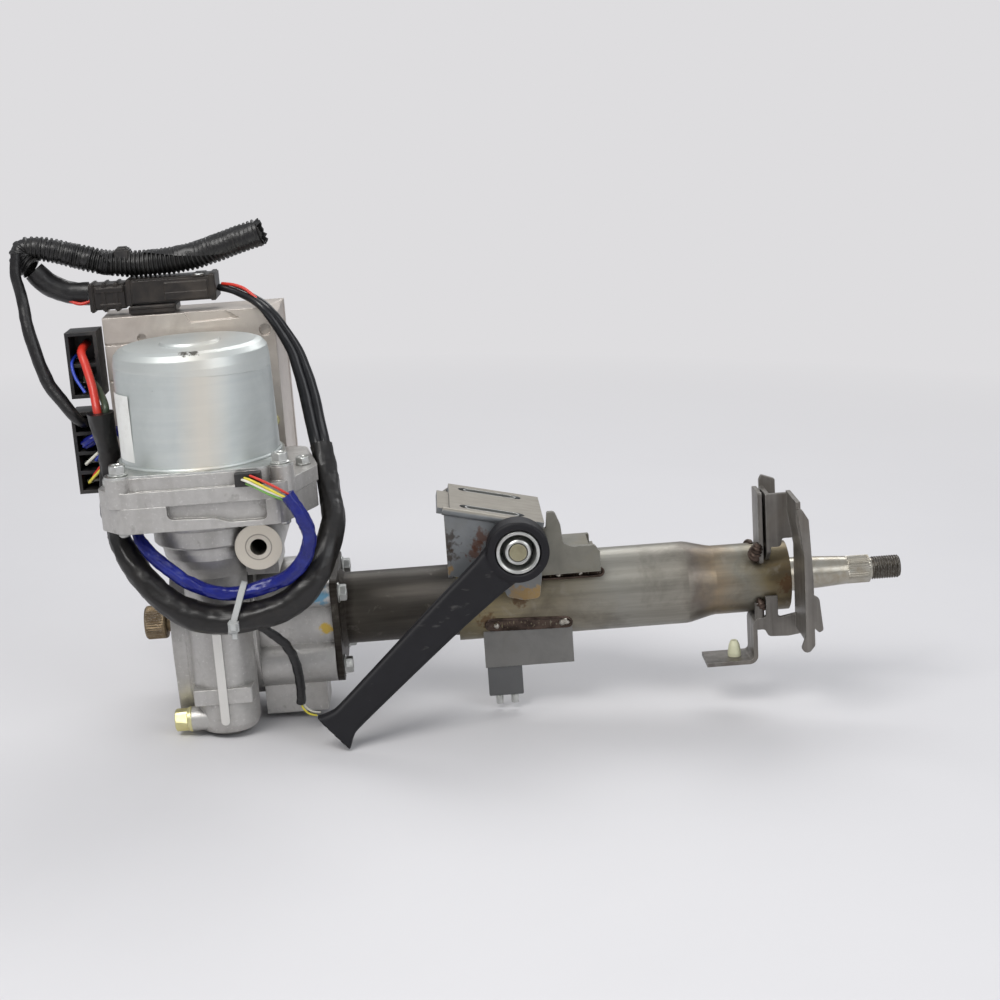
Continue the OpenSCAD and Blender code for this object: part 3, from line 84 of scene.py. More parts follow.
def at(x, y, z):
    """A point in column millimetres, as a point of the frame in metres."""
    return COLUMN @ Vector((x, y, z))


print("column zero is at", [round(c, 4) for c in at(0, 0, 0)])

# %% [markdown]
# ## The camera
#
# The photograph was taken from about a metre, a little above the part and with a normal lens. The
# camera stands there and turns down by its pitch and a little to the right by its yaw. Depth of
# field stays off, so that every piece is sharp.

# %% Camera
CAMERA_PLACE = (0.09213, -1.03173, 0.26147)
CAMERA_PITCH = math.radians(13.85)
CAMERA_YAW = math.radians(2.4)
camera_data = bpy.data.cameras.new("camera")
camera_data.lens = 64.98
camera_data.sensor_width = 36
camera = bpy.data.objects.new("camera", camera_data)
camera.location = CAMERA_PLACE
camera.rotation_euler = (math.pi / 2 - CAMERA_PITCH, 0, -CAMERA_YAW)
scene.collection.objects.link(camera)
scene.camera = camera
scene.view_settings.view_transform = "Standard"
print("camera lens in mm:", camera_data.lens)

# %% [markdown]
# ## Nodes in few words
#
# A material is a small network. Written out node by node it hides what it does, so this helper adds
# a node, sets it and links it in one call. A colour is written as the eye reads it on a screen, from
# 0 to 255, and turned into the linear light that the renderer needs.


# %% Node helper
def light(colour):
    """A screen colour, three numbers from 0 to 255, as linear light. A socket stays as it is."""
    if isinstance(colour, bpy.types.NodeSocket):
        return colour
    shares = [value / 255 for value in colour]
    return (*[s / 12.92 if s <= 0.04045 else ((s + 0.055) / 1.055) ** 2.4 for s in shares], 1)


class Net:
    """A node tree that is filled by short calls."""

    def __init__(self, tree):
        self.tree = tree

    def add(self, kind, inputs=None, **settings):
        node = self.tree.nodes.new("ShaderNode" + kind)
        for key, value in settings.items():
            setattr(node, key, value)
        for key, value in (inputs or {}).items():
            if isinstance(value, bpy.types.NodeSocket):
                self.tree.links.new(value, node.inputs[key])
            else:
                node.inputs[key].default_value = value
        return node

    def math(self, operation, first, second=0.5):
        return self.add("Math", {0: first, 1: second}, operation=operation).outputs[0]

    def times(self, first, second):
        return self.math("MULTIPLY", first, second)

    def vector(self, operation, first, second=(0, 0, 0), out="Vector"):
        return self.add("VectorMath", {0: first, 1: second}, operation=operation).outputs[out]

    def axis(self, vector, name):
        return self.add("SeparateXYZ", {0: vector}).outputs[name]

    def span(self, value, low, high, start=0.0, end=1.0):
        """Value mapped from low..high to start..end, held at the ends."""
        wanted = {"Value": value, "From Min": low, "From Max": high, "To Min": start, "To Max": end}
        return self.add("MapRange", wanted).outputs[0]

    def mix(self, share, first, second):
        wanted = {0: share, 6: light(first), 7: light(second)}
        return self.add("Mix", wanted, data_type="RGBA").outputs[2]

    def noise(self, where, scale, detail=4.0, rough=0.55, warp=0.0):
        wanted = {"Vector": where, "Scale": scale, "Detail": detail, "Roughness": rough}
        return self.add("TexNoise", {**wanted, "Distortion": warp}).outputs[0]

    def place(self):
        """The point of the surface, in the frame's axes."""
        return self.add("TexCoord").outputs["Object"]

    def column_place(self):
        """The same point with the column's slope turned out of it."""
        return self.add("Mapping", {"Vector": self.place(), "Rotation": (0, COLUMN_TILT, 0)}).outputs[0]

    def openness(self, distance):
        """How open a place is, from 0 deep in a corner to 1 on a free face."""
        return self.add("AmbientOcclusion", {"Distance": distance}, samples=4).outputs["AO"]


# %% [markdown]
# ## Effects that many finishes share
#
# *Soft edges*: CAD edges are knife sharp, and a real edge catches light in a thin line. The Bevel
# node rounds the shading normal over a fraction of a millimetre.
#
# *Edge wear*: where that rounded normal leans away from the flat one there is an edge, and a noise
# breaks the line up, as handling does.
#
# *Grain*: fine bumps of sand casting, moulded plastic or tape.
#
# *Blotches*: slow changes of colour, such as stains and tarnish.
#
# *Streaks*: noise drawn out along one direction, for rolled or brushed metal.
#
# *Spot*: a ragged patch round one point, for rust, grease and the tint beside a weld.
#
# Each effect is a function that gives its outputs, and one loop makes a node group of each.


# %% Shared effects
def soft_edges(net, start):
    return [net.add("Bevel", {"Radius": start["Radius"]}, samples=4).outputs[0]]


def edge_wear(net, start):
    bevel = net.add("Bevel", {"Radius": start["Radius"]}, samples=4).outputs[0]
    lean = net.vector("DOT_PRODUCT", bevel, net.add("NewGeometry").outputs["Normal"], "Value")
    broken = net.span(net.noise(net.place(), start["Scale"]), 0.35, 0.6)
    return [net.times(net.span(lean, 0.995, 0.85), broken)]


def grain(net, start):
    place = net.place()
    fine = net.noise(place, start["Scale"], 3.0, 0.6)
    coarse = net.noise(place, net.times(start["Scale"], 0.22), 3.0)
    return [net.math("ADD", net.times(fine, 0.6), net.times(coarse, 0.4)), net.span(coarse, 0.3, 0.7)]


def blotches(net, start):
    return [net.span(net.noise(net.place(), start["Scale"], 5.0, 0.6, 0.4), start["Low"], start["High"])]


def streaks(net, start):
    drawn = net.vector("MULTIPLY", net.column_place(), start["Stretch"])
    lines = net.noise(drawn, start["Scale"], 3.0, 0.6)
    return [lines, net.span(lines, 0.35, 0.65)]


def spot(net, start):
    place = net.place()
    share = net.math("DIVIDE", net.vector("DISTANCE", place, start["Centre"], "Value"), start["Size"])
    ragged = net.math("ADD", share, net.span(net.noise(place, start["Scale"]), 0.3, 0.7, -0.5, 0.5))
    return [net.span(ragged, 1.0, 0.55)]


EFFECTS = [
    (soft_edges, {"Radius": 0.0005}, ["Normal"]),
    (edge_wear, {"Radius": 0.0006, "Scale": 400.0}, ["Mask"]),
    (grain, {"Scale": 900.0}, ["Height", "Shade"]),
    (blotches, {"Scale": 30.0, "Low": 0.45, "High": 0.65}, ["Mask"]),
    (streaks, {"Stretch": (1, 1, 1), "Scale": 300.0}, ["Height", "Shade"]),
    (spot, {"Centre": (0, 0, 0), "Size": 0.01, "Scale": 250.0}, ["Mask"]),
]
GROUPS = {}
for effect, inputs, outputs in EFFECTS:
    tree = bpy.data.node_groups.new(effect.__name__, "ShaderNodeTree")
    for label, default in inputs.items():
        socket_type = "NodeSocketFloat" if isinstance(default, float) else "NodeSocketVector"
        socket = tree.interface.new_socket(label, in_out="INPUT", socket_type=socket_type)
        socket.default_value = default
    for label in outputs:
        socket_type = "NodeSocketVector" if label == "Normal" else "NodeSocketFloat"
        tree.interface.new_socket(label, in_out="OUTPUT", socket_type=socket_type)
    made = effect(Net(tree), tree.nodes.new("NodeGroupInput").outputs)
    end = tree.nodes.new("NodeGroupOutput").inputs
    for label, value in zip(outputs, made):
        tree.links.new(value, end[label])
    GROUPS[tree.name] = tree
print("shared effects:", sorted(GROUPS))


# %% [markdown]
# ## A finish is a base colour, what lies over it, and how it takes light
#
# `Finish` starts a material with its Principled shader. Each layer mixes a new colour over the last
# one by a mask, and the heights add up to one bump at the end, on top of the softened edges. Plain
# numbers, such as a coat's weight, are set on the shader's own sockets. The four kinds of layer that
# most finishes use, stains, worn edges, spots and grain, have a call of their own.


# %% Finish helper
class Finish(Net):
    """A material built up layer by layer."""

    def __init__(self, name, colour, roughness, metallic=0.0):
        self.material = bpy.data.materials.new(name)
        self.material.use_nodes = True
        super().__init__(self.material.node_tree)
        self.shader = self.tree.nodes["Principled BSDF"]
        self.colour = self.mix(0.0, colour, colour)
        self.rough = roughness
        self.shader.inputs["Metallic"].default_value = metallic
        self.heights = []

    def group(self, name, **inputs):
        node = self.add("Group", node_tree=GROUPS[name])
        for key, value in inputs.items():
            node.inputs[key].default_value = value
        return node.outputs

    def layer(self, mask, colour, amount=1.0, rough=None):
        """Mixes a colour, and if given a roughness, over what is there."""
        share = mask if amount == 1.0 else self.times(mask, amount)
        self.colour = self.mix(share, self.colour, colour)
        if rough is not None:
            self.rough = self.add("Mix", {0: share, 2: self.rough, 3: rough}).outputs[0]

    def stain(self, scale, low, high, colour, amount=1.0, rough=None):
        self.layer(self.group("blotches", Scale=scale, Low=low, High=high)["Mask"], colour, amount, rough)

    def wear(self, radius, scale, colour, amount, rough=None):
        self.layer(self.group("edge_wear", Radius=radius, Scale=scale)["Mask"], colour, amount, rough)

    def spots(self, spots, scale, amount, rough):
        """Ragged spots, each (place in column millimetres, size in metres, colour)."""
        for centre, size, colour in spots:
            mask = self.group("spot", Centre=at(*centre), Size=size, Scale=scale)["Mask"]
            self.layer(mask, colour, amount, rough)

    def grain(self, scale, depth):
        """Fine bumps. Gives the shade that goes with them."""
        fine = self.group("grain", Scale=scale)
        self.bump(fine["Height"], depth)
        return fine["Shade"]

    def bump(self, height, depth):
        """Adds a height that stands this many metres proud."""
        self.heights.append((height, depth))

    def join(self, value, name):
        """A socket or a plain number into one of the shader's own sockets."""
        if isinstance(value, bpy.types.NodeSocket):
            self.tree.links.new(value, self.shader.inputs[name])
        else:
            self.shader.inputs[name].default_value = value

    def done(self, edge=0.0005, **plain):
        """Joins everything to the shader. Edge is the radius of the softened edges in metres."""
        self.join(self.colour, "Base Color")
        self.join(self.rough, "Roughness")
        normal = self.group("soft_edges", Radius=edge)["Normal"] if edge else None
        for height, depth in self.heights:
            node = self.add("Bump", {"Height": height, "Distance": depth, "Strength": 1.0})
            if normal is not None:
                self.tree.links.new(normal, node.inputs["Normal"])
            normal = node.outputs[0]
        if normal is not None:
            self.join(normal, "Normal")
        for key, value in plain.items():
            self.join(value, key.replace("_", " "))
        return self.material


# %% [markdown]
# ## Cast aluminium
#
# The gearbox, the motor adapter and the controller case are pressure die castings. Their skin is
# matt and slightly mottled, with a fine orange-peel grain, and bright on rubbed edges. The gearbox's
# finish is darker in corners and recesses, a painted shade, and carries darker upright bands, the
# painted shade of upright facets. The face of the pivot boss was machined, and it is creamier than the
# rest: a mask that is 1 only beyond that face's plane and near the pivot picks it out, and inside its
# bore the colour is darker, a painted shade. In the same way the face of the worm housing's rib is
# picked out and painted bright, a painted highlight of that flat face. Two dabs of paint, blue and
# yellow, are spots of colour round a point on the sensor's drum.


# %% Cast aluminium
BOSS_FACE = -0.0738
BOSS_RADIUS = 0.0133
BORE_RADIUS = 0.00745
RIB_FACE = -0.0640
RIB_TOP = -0.052
PAINT_MARKS = [
    ((56.4, -35.6, 18.6), 0.0062, (96, 158, 190)),
    ((59.2, -33.4, -1.5), 0.0046, (206, 172, 52)),
]


def cast_aluminium():
    finish = Finish("cast_aluminium", (192, 190, 187), 0.4, metallic=0.7)
    finish.layer(finish.grain(1300.0, 0.00012), (170, 168, 165), 0.4, 0.5)
    # Darker upright bands: painted shade of the casting's upright facets.
    bands = finish.group("streaks", Stretch=(1.0, 1.0, 0.03), Scale=42.0)["Height"]
    finish.layer(finish.span(bands, 0.5, 0.62), (146, 142, 138), 0.4)
    finish.stain(26.0, 0.52, 0.74, (150, 145, 140), 0.45, 0.55)
    finish.stain(110.0, 0.62, 0.74, (118, 113, 107), 0.45)
    finish.stain(620.0, 0.6, 0.7, (222, 221, 218), 0.5, 0.3)
    # Darker in corners and recesses, by how closed in a place is: painted shade.
    finish.layer(finish.span(finish.openness(0.009), 0.75, 0.2), (72, 68, 64), 0.75, 0.6)
    finish.wear(0.0008, 500.0, (226, 224, 220), 0.75, 0.3)
    finish.spots(PAINT_MARKS, 260.0, 0.85, 0.5)
    place = finish.place()
    depth = finish.axis(place, "Y")
    from_pivot = finish.vector("LENGTH", finish.vector("MULTIPLY", place, (1, 0, 1)), out="Value")
    near = finish.span(from_pivot, BOSS_RADIUS + 0.0001, BOSS_RADIUS - 0.0001)
    boss = finish.times(finish.span(depth, BOSS_FACE + 0.0001, BOSS_FACE - 0.0001), near)
    finish.layer(boss, (222, 214, 199), 0.9, 0.42)
    # Darker inside the bore of the boss: painted shade.
    bore = finish.span(from_pivot, BORE_RADIUS + 0.00015, BORE_RADIUS - 0.00015)
    finish.layer(finish.times(boss, bore), (120, 112, 104), 0.6)
    # The flat front face of the rib painted bright and glossier: a painted highlight.
    low = finish.span(finish.axis(place, "Z"), RIB_TOP + 0.001, RIB_TOP - 0.001)
    rib = finish.times(low, finish.span(depth, RIB_FACE + 0.0003, RIB_FACE - 0.0001))
    finish.layer(rib, (236, 234, 229), 0.8, 0.34)
    return finish.done(edge=0.0007)


def controller_skin():
    finish = Finish("controller_skin", (208, 199, 190), 0.34, metallic=0.6)
    finish.layer(finish.grain(900.0, 0.0001), (190, 181, 173), 0.4)
    finish.stain(34.0, 0.5, 0.7, (166, 154, 143), 0.45, 0.5)
    finish.wear(0.0008, 500.0, (220, 216, 210), 0.7)
    return finish.done(edge=0.0008)


FINISHES = {"cast": cast_aluminium(), "controller": controller_skin()}
print("castings:", [material.name for material in FINISHES.values()])

# %% [markdown]
# ## Zinc on the motor can
#
# The can is drawn steel with a bluish zinc plate. Rolling left faint rings round it, handling left a
# few dull patches, and on the shoulder there are spots of old grease. The rings are streaks that are
# long across the can and short along its axis. Above the seam the can was drawn once more, and it is
# a little brighter there. One upright band that faces the viewer is painted warmer and brighter: a painted
# reflection.


# %% Zinc-plated can
SEAM_HEIGHT = at(5, WORM_Y - 42, 159.5).z
WARM_REFLECTION_X = at(8, WORM_Y - 42, 130).x
GREASE = (58, 52, 42)
GREASE_SPOTS = [
    ((1.6, -81.5, 171), 0.0034, GREASE), ((6.6, -81.7, 171.4), 0.0032, GREASE),
    ((12, -82, 166.5), 0.0014, GREASE),
]


def zinc_can():
    finish = Finish("zinc_can", (206, 211, 209), 0.36, metallic=0.6)
    rings = finish.group("streaks", Stretch=(0.05, 0.05, 1.0), Scale=260.0)
    finish.layer(rings["Shade"], (190, 197, 198), 0.4, 0.42)
    finish.stain(22.0, 0.46, 0.66, (184, 190, 188), 0.5, 0.46)
    finish.stain(240.0, 0.7, 0.76, (126, 130, 128), 0.5, 0.6)
    place = finish.place()
    # A warm, bright upright band facing the viewer: a painted reflection.
    beside = finish.math("ABSOLUTE", finish.math("SUBTRACT", finish.axis(place, "X"), WARM_REFLECTION_X))
    finish.layer(finish.span(beside, 0.015, 0.002), (240, 228, 210), 0.5)
    above = finish.span(finish.axis(place, "Z"), SEAM_HEIGHT - 0.0004, SEAM_HEIGHT + 0.0004)
    finish.layer(above, (214, 217, 214), 0.35, 0.5)
    finish.spots(GREASE_SPOTS, 700.0, 0.9, 0.55)
    finish.bump(rings["Height"], 0.00003)
    finish.bump(above, 0.0003)
    return finish.done(edge=0.0009)


FINISHES["can"] = zinc_can()
print("the can's seam in metres:", round(SEAM_HEIGHT, 4))

# %% [markdown]
# ## Steel of the jacket tubes
#
# The tubes were welded and then phosphated, so heat drew bands of straw, brown and blue-grey along
# them. A colour ramp along the column holds the order of those bands, and a noise pushes them about
# so that no band has a straight edge.


# %% Jacket steel
RUST = (94, 60, 44)
TUBE_RUST = [
    ((172, -24, 4), 0.005, (92, 60, 38)), ((152, -24, -8), 0.006, (92, 60, 38)),
    ((330, -19, 0), 0.006, (92, 60, 38)),
]
OUTER_BANDS = [
    (0.0, (112, 104, 80)), (0.12, (134, 122, 92)), (0.3, (134, 126, 108)), (0.48, (146, 144, 136)),
    (0.66, (146, 142, 132)), (0.72, (112, 104, 96)), (0.78, (142, 126, 104)), (0.86, (134, 131, 120)),
    (0.94, (118, 106, 78)), (1.0, (96, 82, 58)),
]
LOWER_BANDS = [
    (0.0, (40, 34, 29)), (0.14, (44, 37, 31)), (0.2, (74, 69, 62)), (0.45, (62, 58, 53)),
    (0.75, (66, 62, 58)), (1.0, (58, 57, 56)),
]
WOBBLE = 0.035


def colour_bands(net, bands, first_x, last_x):
    """Colours [(share, colour)] along the column between two places in millimetres."""
    along = net.axis(net.column_place(), "X")
    even = net.span(along, (first_x - PIVOT.x) * MM, (last_x - PIVOT.x) * MM)
    pushed = net.span(net.noise(net.place(), 45.0), 0.3, 0.7, -WOBBLE, WOBBLE)
    ramp = net.add("ValToRGB", {0: net.math("ADD", even, pushed)})
    stops = ramp.color_ramp.elements
    while len(stops) < len(bands):
        stops.new(0.5)
    for stop, (share, colour) in zip(stops, bands):
        stop.position = share
        stop.color = light(colour)
    return ramp.outputs[0]


def tube_steel(name, bands, first_x, last_x, roughness):
    finish = Finish(name, (120, 116, 108), roughness, metallic=0.65)
    finish.colour = colour_bands(finish, bands, first_x, last_x)
    drawn = finish.group("streaks", Stretch=(0.06, 1.0, 1.0), Scale=420.0)
    finish.layer(drawn["Shade"], (96, 92, 84), 0.3, roughness + 0.1)
    finish.stain(40.0, 0.5, 0.7, (70, 63, 54), 0.45, roughness + 0.12)
    finish.stain(85.0, 0.6, 0.75, (160, 156, 146), 0.35)
    finish.spots(TUBE_RUST, 420.0, 0.6, 0.8)
    finish.grain(1500.0, 0.00005)
    finish.bump(drawn["Height"], 0.00003)
    return finish.done(edge=0.0005)


FINISHES["outer_jacket"] = tube_steel("outer_jacket_steel", OUTER_BANDS, 135, 333, 0.36)
FINISHES["lower_jacket"] = tube_steel("lower_jacket_steel", LOWER_BANDS, 60, 140, 0.45)
print("colour bands:", len(OUTER_BANDS), "and", len(LOWER_BANDS))

# %% [markdown]
# ## Sheet steel of the brackets
#
# The brackets are pressed sheet of one kind, and each has its own tint: the tilt bracket is bluish,
# with rust spots beside the lever and a brushed top plate, and the tab and the end bracket are
# darker. The top plate is told apart by its upward normal, and the tab's fold by its height. The top
# plate is lighter and browner: partly its brushed tone, partly painted light from above.


# %% Bracket steel
TILT_SPOTS = [
    ((152, -31, 46), 0.005, RUST), ((149.5, -31, 41), 0.004, RUST), ((147, -31, 36), 0.0045, RUST),
    ((131, -29, 44), 0.008, (58, 46, 38)), ((131, -29, 36), 0.007, (66, 54, 44)),
    ((131, -29, 27), 0.005, (150, 122, 78)), ((184, -31, 9), 0.006, (168, 148, 112)),
    ((178, -31, 8), 0.0075, (172, 142, 92)), ((172, -31, 9), 0.0075, (158, 132, 90)),
]
TAB_FOLD = (-38 - PIVOT.z) * MM


def sheet_steel(name, colour, dark, warm, spots=()):
    """Pressed sheet: mottled, warm in places, with worn edges and spots."""
    finish = Finish(name, colour, 0.42, metallic=0.55)
    finish.stain(60.0, 0.42, 0.66, dark, 0.6, 0.52)
    finish.stain(28.0, 0.52, 0.7, warm, 0.45)
    finish.spots(spots, 380.0, 0.75, 0.75)
    finish.wear(0.0006, 600.0, (190, 188, 182), 0.75, 0.3)
    finish.grain(1400.0, 0.00008)
    return finish


def tilt_steel():
    finish = sheet_steel("tilt_steel", (124, 127, 129), (104, 107, 110), (114, 110, 100), TILT_SPOTS)
    # Upward faces lighter and browner: the brushed plate's tone, partly painted light from above.
    plate = finish.span(finish.axis(finish.add("NewGeometry").outputs["Normal"], "Z"), 0.3, 0.75)
    finish.layer(plate, (158, 152, 141), 0.9, 0.42)
    brushed = finish.group("streaks", Stretch=(0.05, 1.0, 1.0), Scale=380.0)
    finish.layer(finish.times(brushed["Shade"], plate), (132, 126, 115), 0.6)
    finish.bump(brushed["Height"], 0.00003)
    return finish.done(edge=0.0006)


def tab_steel():
    finish = sheet_steel("tab_steel", (122, 121, 118), (106, 105, 103), (114, 108, 97))
    height = finish.axis(finish.column_place(), "Z")
    finish.layer(finish.span(height, TAB_FOLD + 0.0004, TAB_FOLD - 0.0004), (96, 97, 98), 0.85)
    return finish.done(edge=0.0006)


def end_steel():
    finish = sheet_steel("end_steel", (110, 106, 101), (84, 81, 77), (100, 90, 76))
    rubbed = finish.group("streaks", Stretch=(1.0, 1.0, 0.05), Scale=300.0)
    finish.layer(rubbed["Shade"], (140, 136, 131), 0.45, 0.32)
    return finish.done(edge=0.0008)


clamp = sheet_steel("clamp_steel", (124, 122, 113), (104, 102, 94), (118, 108, 86))
FINISHES["clamp"] = clamp.done(edge=0.0006)
FINISHES["tilt"] = tilt_steel()
FINISHES["tab"] = tab_steel()
FINISHES["end"] = end_steel()
print("bracket finishes:", [FINISHES[key].name for key in ("clamp", "tilt", "tab", "end")])

# %% [markdown]
# ## Plain metals
#
# Bolts, bearings and shafts differ only in colour, polish and how far the blotches go, so one
# function makes them all from a table. The serrated stub was oiled and has browned. The machined
# bush is cream outside, and its bore is painted near black as shade, told apart by how closed in a place is.


# %% Bolt, bearing and shaft metals
METALS = {
    "bearing": ("bearing_steel", (190, 190, 190), (150, 148, 144), 0.22),
    "shaft": ("shaft_steel", (176, 172, 162), (140, 128, 106), 0.28, 0.6),
    "stub": ("stub_steel", (138, 122, 98), (92, 74, 52), 0.42, 0.7),
    "thread": ("thread_steel", (92, 86, 78), (56, 50, 44), 0.4, 0.6),
    "zinc": ("bright_zinc", (202, 203, 200), (158, 158, 152), 0.28, 0.5, 160.0),
    "pale_zinc": ("pale_zinc", (230, 224, 172), (186, 170, 104), 0.36, 0.6),
    "olive_zinc": ("olive_zinc", (160, 154, 128), (118, 110, 88), 0.4, 0.6),
    # Dark brown of the welds; on the wide pools under the brackets it is partly painted shade.
    "weld": ("weld_bead", (92, 78, 70), (42, 34, 30), 0.4, 0.85, 110.0, 0.1),
    "bright_weld": ("bright_weld", (196, 192, 182), (122, 114, 102), 0.32, 0.75, 300.0, 0.2),
    "core": ("core_steel", (96, 94, 92), (62, 58, 54), 0.5, 0.6),
}


def plain_metal(name, colour, tint, roughness, amount=0.5, scale=90.0, worn=0.6):
    finish = Finish(name, colour, roughness, metallic=0.9)
    finish.stain(scale, 0.42, 0.68, tint, amount, roughness + 0.14)
    finish.wear(0.0004, 900.0, (222, 220, 214), worn)
    finish.grain(2200.0, 0.00003)
    return finish.done(edge=0.0003)


def pale_bush():
    finish = Finish("bush_steel", (222, 215, 202), 0.36, metallic=0.5)
    finish.stain(90.0, 0.42, 0.68, (196, 187, 172), 0.5, 0.5)
    # Near black deep in the bore, by how closed in a place is: painted shade.
    finish.layer(finish.span(finish.openness(0.03), 0.35, 0.12), (14, 13, 12), 1.0, 0.7)
    finish.grain(2200.0, 0.00003)
    return finish.done(edge=0.0003)


def wound_copper():
    finish = Finish("wound_copper", (176, 104, 58), 0.35, metallic=0.8)
    turns = finish.group("streaks", Stretch=(1.0, 0.1, 0.1), Scale=900.0)
    finish.layer(turns["Shade"], (110, 58, 32), 0.7)
    finish.bump(turns["Height"], 0.0002)
    return finish.done(edge=0.0003)


FINISHES["bush"] = pale_bush()
FINISHES["copper"] = wound_copper()
for key, facts in METALS.items():
    FINISHES[key] = plain_metal(*facts)
print("plain metals:", len(METALS))

# %% [markdown]
# ## The lever's coat
#
# The lever is a black e-coated casting: nearly black, with a low even sheen, pale scuffs where
# hands and shelves rubbed it, and a satin grain.


# %% Lever coat
def lever_coat():
    finish = Finish("lever_coat", (20, 19, 23), 0.5)
    finish.stain(55.0, 0.4, 0.7, (27, 27, 31), 0.6, 0.58)
    scuffs = finish.group("streaks", Stretch=(0.35, 1.0, 0.9), Scale=190.0)["Height"]
    finish.layer(finish.span(scuffs, 0.66, 0.76), (92, 90, 88), 0.4, 0.62)
    finish.wear(0.001, 420.0, (96, 92, 88), 0.45, 0.5)
    finish.grain(1600.0, 0.00006)
    return finish.done(edge=0.0009, Specular_IOR_Level=0.3)


FINISHES["lever"] = lever_coat()
print("lever finish:", FINISHES["lever"].name)

# %% [markdown]
# ## Plastics, tape and insulation
#
# Connectors are moulded nylon, dusty and a little scuffed. Sleeves and tape are soft vinyl: their
# gloss comes and goes with the wrinkles, so the roughness follows a noise. The crests of the creases
# are painted paler, a painted highlight. The blue sleeve is glossier. Thin wires have clean, even insulation.


# %% Plastics
def moulded_plastic(name, colour, dust, roughness=0.45):
    finish = Finish(name, colour, roughness)
    finish.stain(70.0, 0.45, 0.75, dust, 0.35, roughness + 0.2)
    finish.wear(0.0005, 700.0, dust, 0.6)
    finish.grain(2600.0, 0.00004)
    return finish.done(edge=0.0004)


def soft_vinyl(name, colour, pale, gloss, dull, crease):
    finish = Finish(name, colour, gloss)
    finish.stain(120.0, 0.5, 0.75, pale, 0.4, dull)
    creases = finish.group("streaks", Stretch=(0.4, 1.0, 1.0), Scale=240.0)["Height"]
    # Paler on the crests of the creases: painted highlight.
    finish.layer(finish.span(creases, 0.62, 0.72), pale, 0.3)
    finish.bump(creases, crease)
    return finish.done(edge=0)


def insulation(name, colour, dusty):
    finish = Finish(name, colour, 0.38)
    finish.stain(200.0, 0.5, 0.75, dusty, 0.4, 0.55)
    return finish.done(edge=0, Coat_Weight=0.15)


def sticker_paper():
    finish = Finish("sticker_paper", (232, 233, 230), 0.5)
    finish.stain(130.0, 0.5, 0.75, (206, 206, 200), 0.5)
    finish.grain(3000.0, 0.00002)
    return finish.done(edge=0)


PLASTICS = {
    "black": (moulded_plastic, "black_plastic", (30, 30, 32), (92, 86, 80)),
    "board": (moulded_plastic, "circuit_board", (26, 72, 44), (60, 92, 70), 0.4),
    "liner": (moulded_plastic, "sliding_nylon", (214, 208, 190), (180, 172, 152), 0.5),
    "tie": (moulded_plastic, "tie_nylon", (178, 180, 179), (148, 148, 146), 0.4),
    "clip": (moulded_plastic, "clip_nylon", (214, 214, 184), (184, 182, 154), 0.45),
    "plug": (moulded_plastic, "plug_plastic", (34, 30, 28), (92, 82, 73), 0.36),
    "conduit": (moulded_plastic, "conduit_plastic", (20, 20, 20), (64, 61, 58), 0.4),
    "sleeve": (soft_vinyl, "sleeve_vinyl", (20, 18, 17), (44, 39, 35), 0.36, 0.52, 0.0002),
    "cable": (soft_vinyl, "cable_vinyl", (22, 22, 25), (40, 40, 44), 0.28, 0.42, 0.00004),
    "tape": (soft_vinyl, "tape_vinyl", (24, 23, 24), (62, 60, 58), 0.36, 0.56, 0.0003),
    "blue": (soft_vinyl, "blue_vinyl", (14, 24, 112), (40, 60, 168), 0.28, 0.42, 0.0003),
    "red": (insulation, "red_insulation", (206, 52, 38), (178, 70, 52)),
    "green": (insulation, "green_insulation", (52, 66, 48), (84, 92, 74)),
    "white_wire": (insulation, "white_insulation", (222, 220, 208), (196, 190, 176)),
    "yellow_wire": (insulation, "yellow_insulation", (220, 206, 70), (190, 176, 80)),
    "lime_wire": (insulation, "lime_insulation", (120, 176, 84), (110, 150, 84)),
    "blue_wire": (insulation, "blue_insulation", (46, 74, 190), (60, 80, 160)),
    "sticker": (sticker_paper,),
}
for key, (make, *facts) in PLASTICS.items():
    FINISHES[key] = make(*facts)
print("finishes:", len(FINISHES))

# %% [markdown]
# ## Dress the CAD pieces
#
# Where the CAD shape is right as it is, only the material has to change: each node of the frame keeps
# its mesh and gets a finish in its material slot. Inner pieces get theirs too, for anyone who takes
# the column apart.

# %% Finishes of the CAD nodes
DRESS = {
    "cast": "gear_housing housing_cover motor_adapter sensor_housing",
    "controller": "controller_case controller_base",
    "can": "motor_can",
    "outer_jacket": "outer_tube",
    "lower_jacket": "lower_tube",
    "clamp": "clamp_bracket",
    "tilt": "tilt_bracket",
    "tab": "lower_bracket",
    "end": "end_bracket",
    "bush": "pivot_bush",
    "bearing": "wheel_bearings worm_bearings motor_bearings input_bearing upper_bearing",
    "shaft": "upper_shaft lower_shaft worm_shaft torsion_bar",
    "stub": "output_shaft",
    "zinc": "motor_bolts flange_bolts bracket_studs clamp_nut slot_sliders motor_end_plate",
    "pale_zinc": "jack_bolt controller_screws",
    "olive_zinc": "clamp_bolt cam_plate",
    "core": "wheel_hub motor_coupling motor_rotor motor_stator clamp_spacer",
    "copper": "sensor_coils",
    "lever": "lever",
    "black": "power_connector signal_connector sensor_connector",
    "plug": "loom_plug loom_socket",
    "board": "controller_board",
    "liner": "slide_liner wheel_rim",
    "tie": "cable_tie",
    "clip": "foot_clip",
    "sleeve": "main_sleeve sensor_lead",
    "tape": "taped_leads side_lead right_leads loom",
    "blue": "blue_sleeve",
    "red": "power_leads",
    "green": "ground_lead",
}
undressed = set(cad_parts)
for finish_name, node_names in DRESS.items():
    for node_name in node_names.split():
        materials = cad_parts[node_name].data.materials
        materials.clear()
        materials.append(FINISHES[finish_name])
        undressed.discard(node_name)
print("CAD nodes with no finish yet:", sorted(undressed))

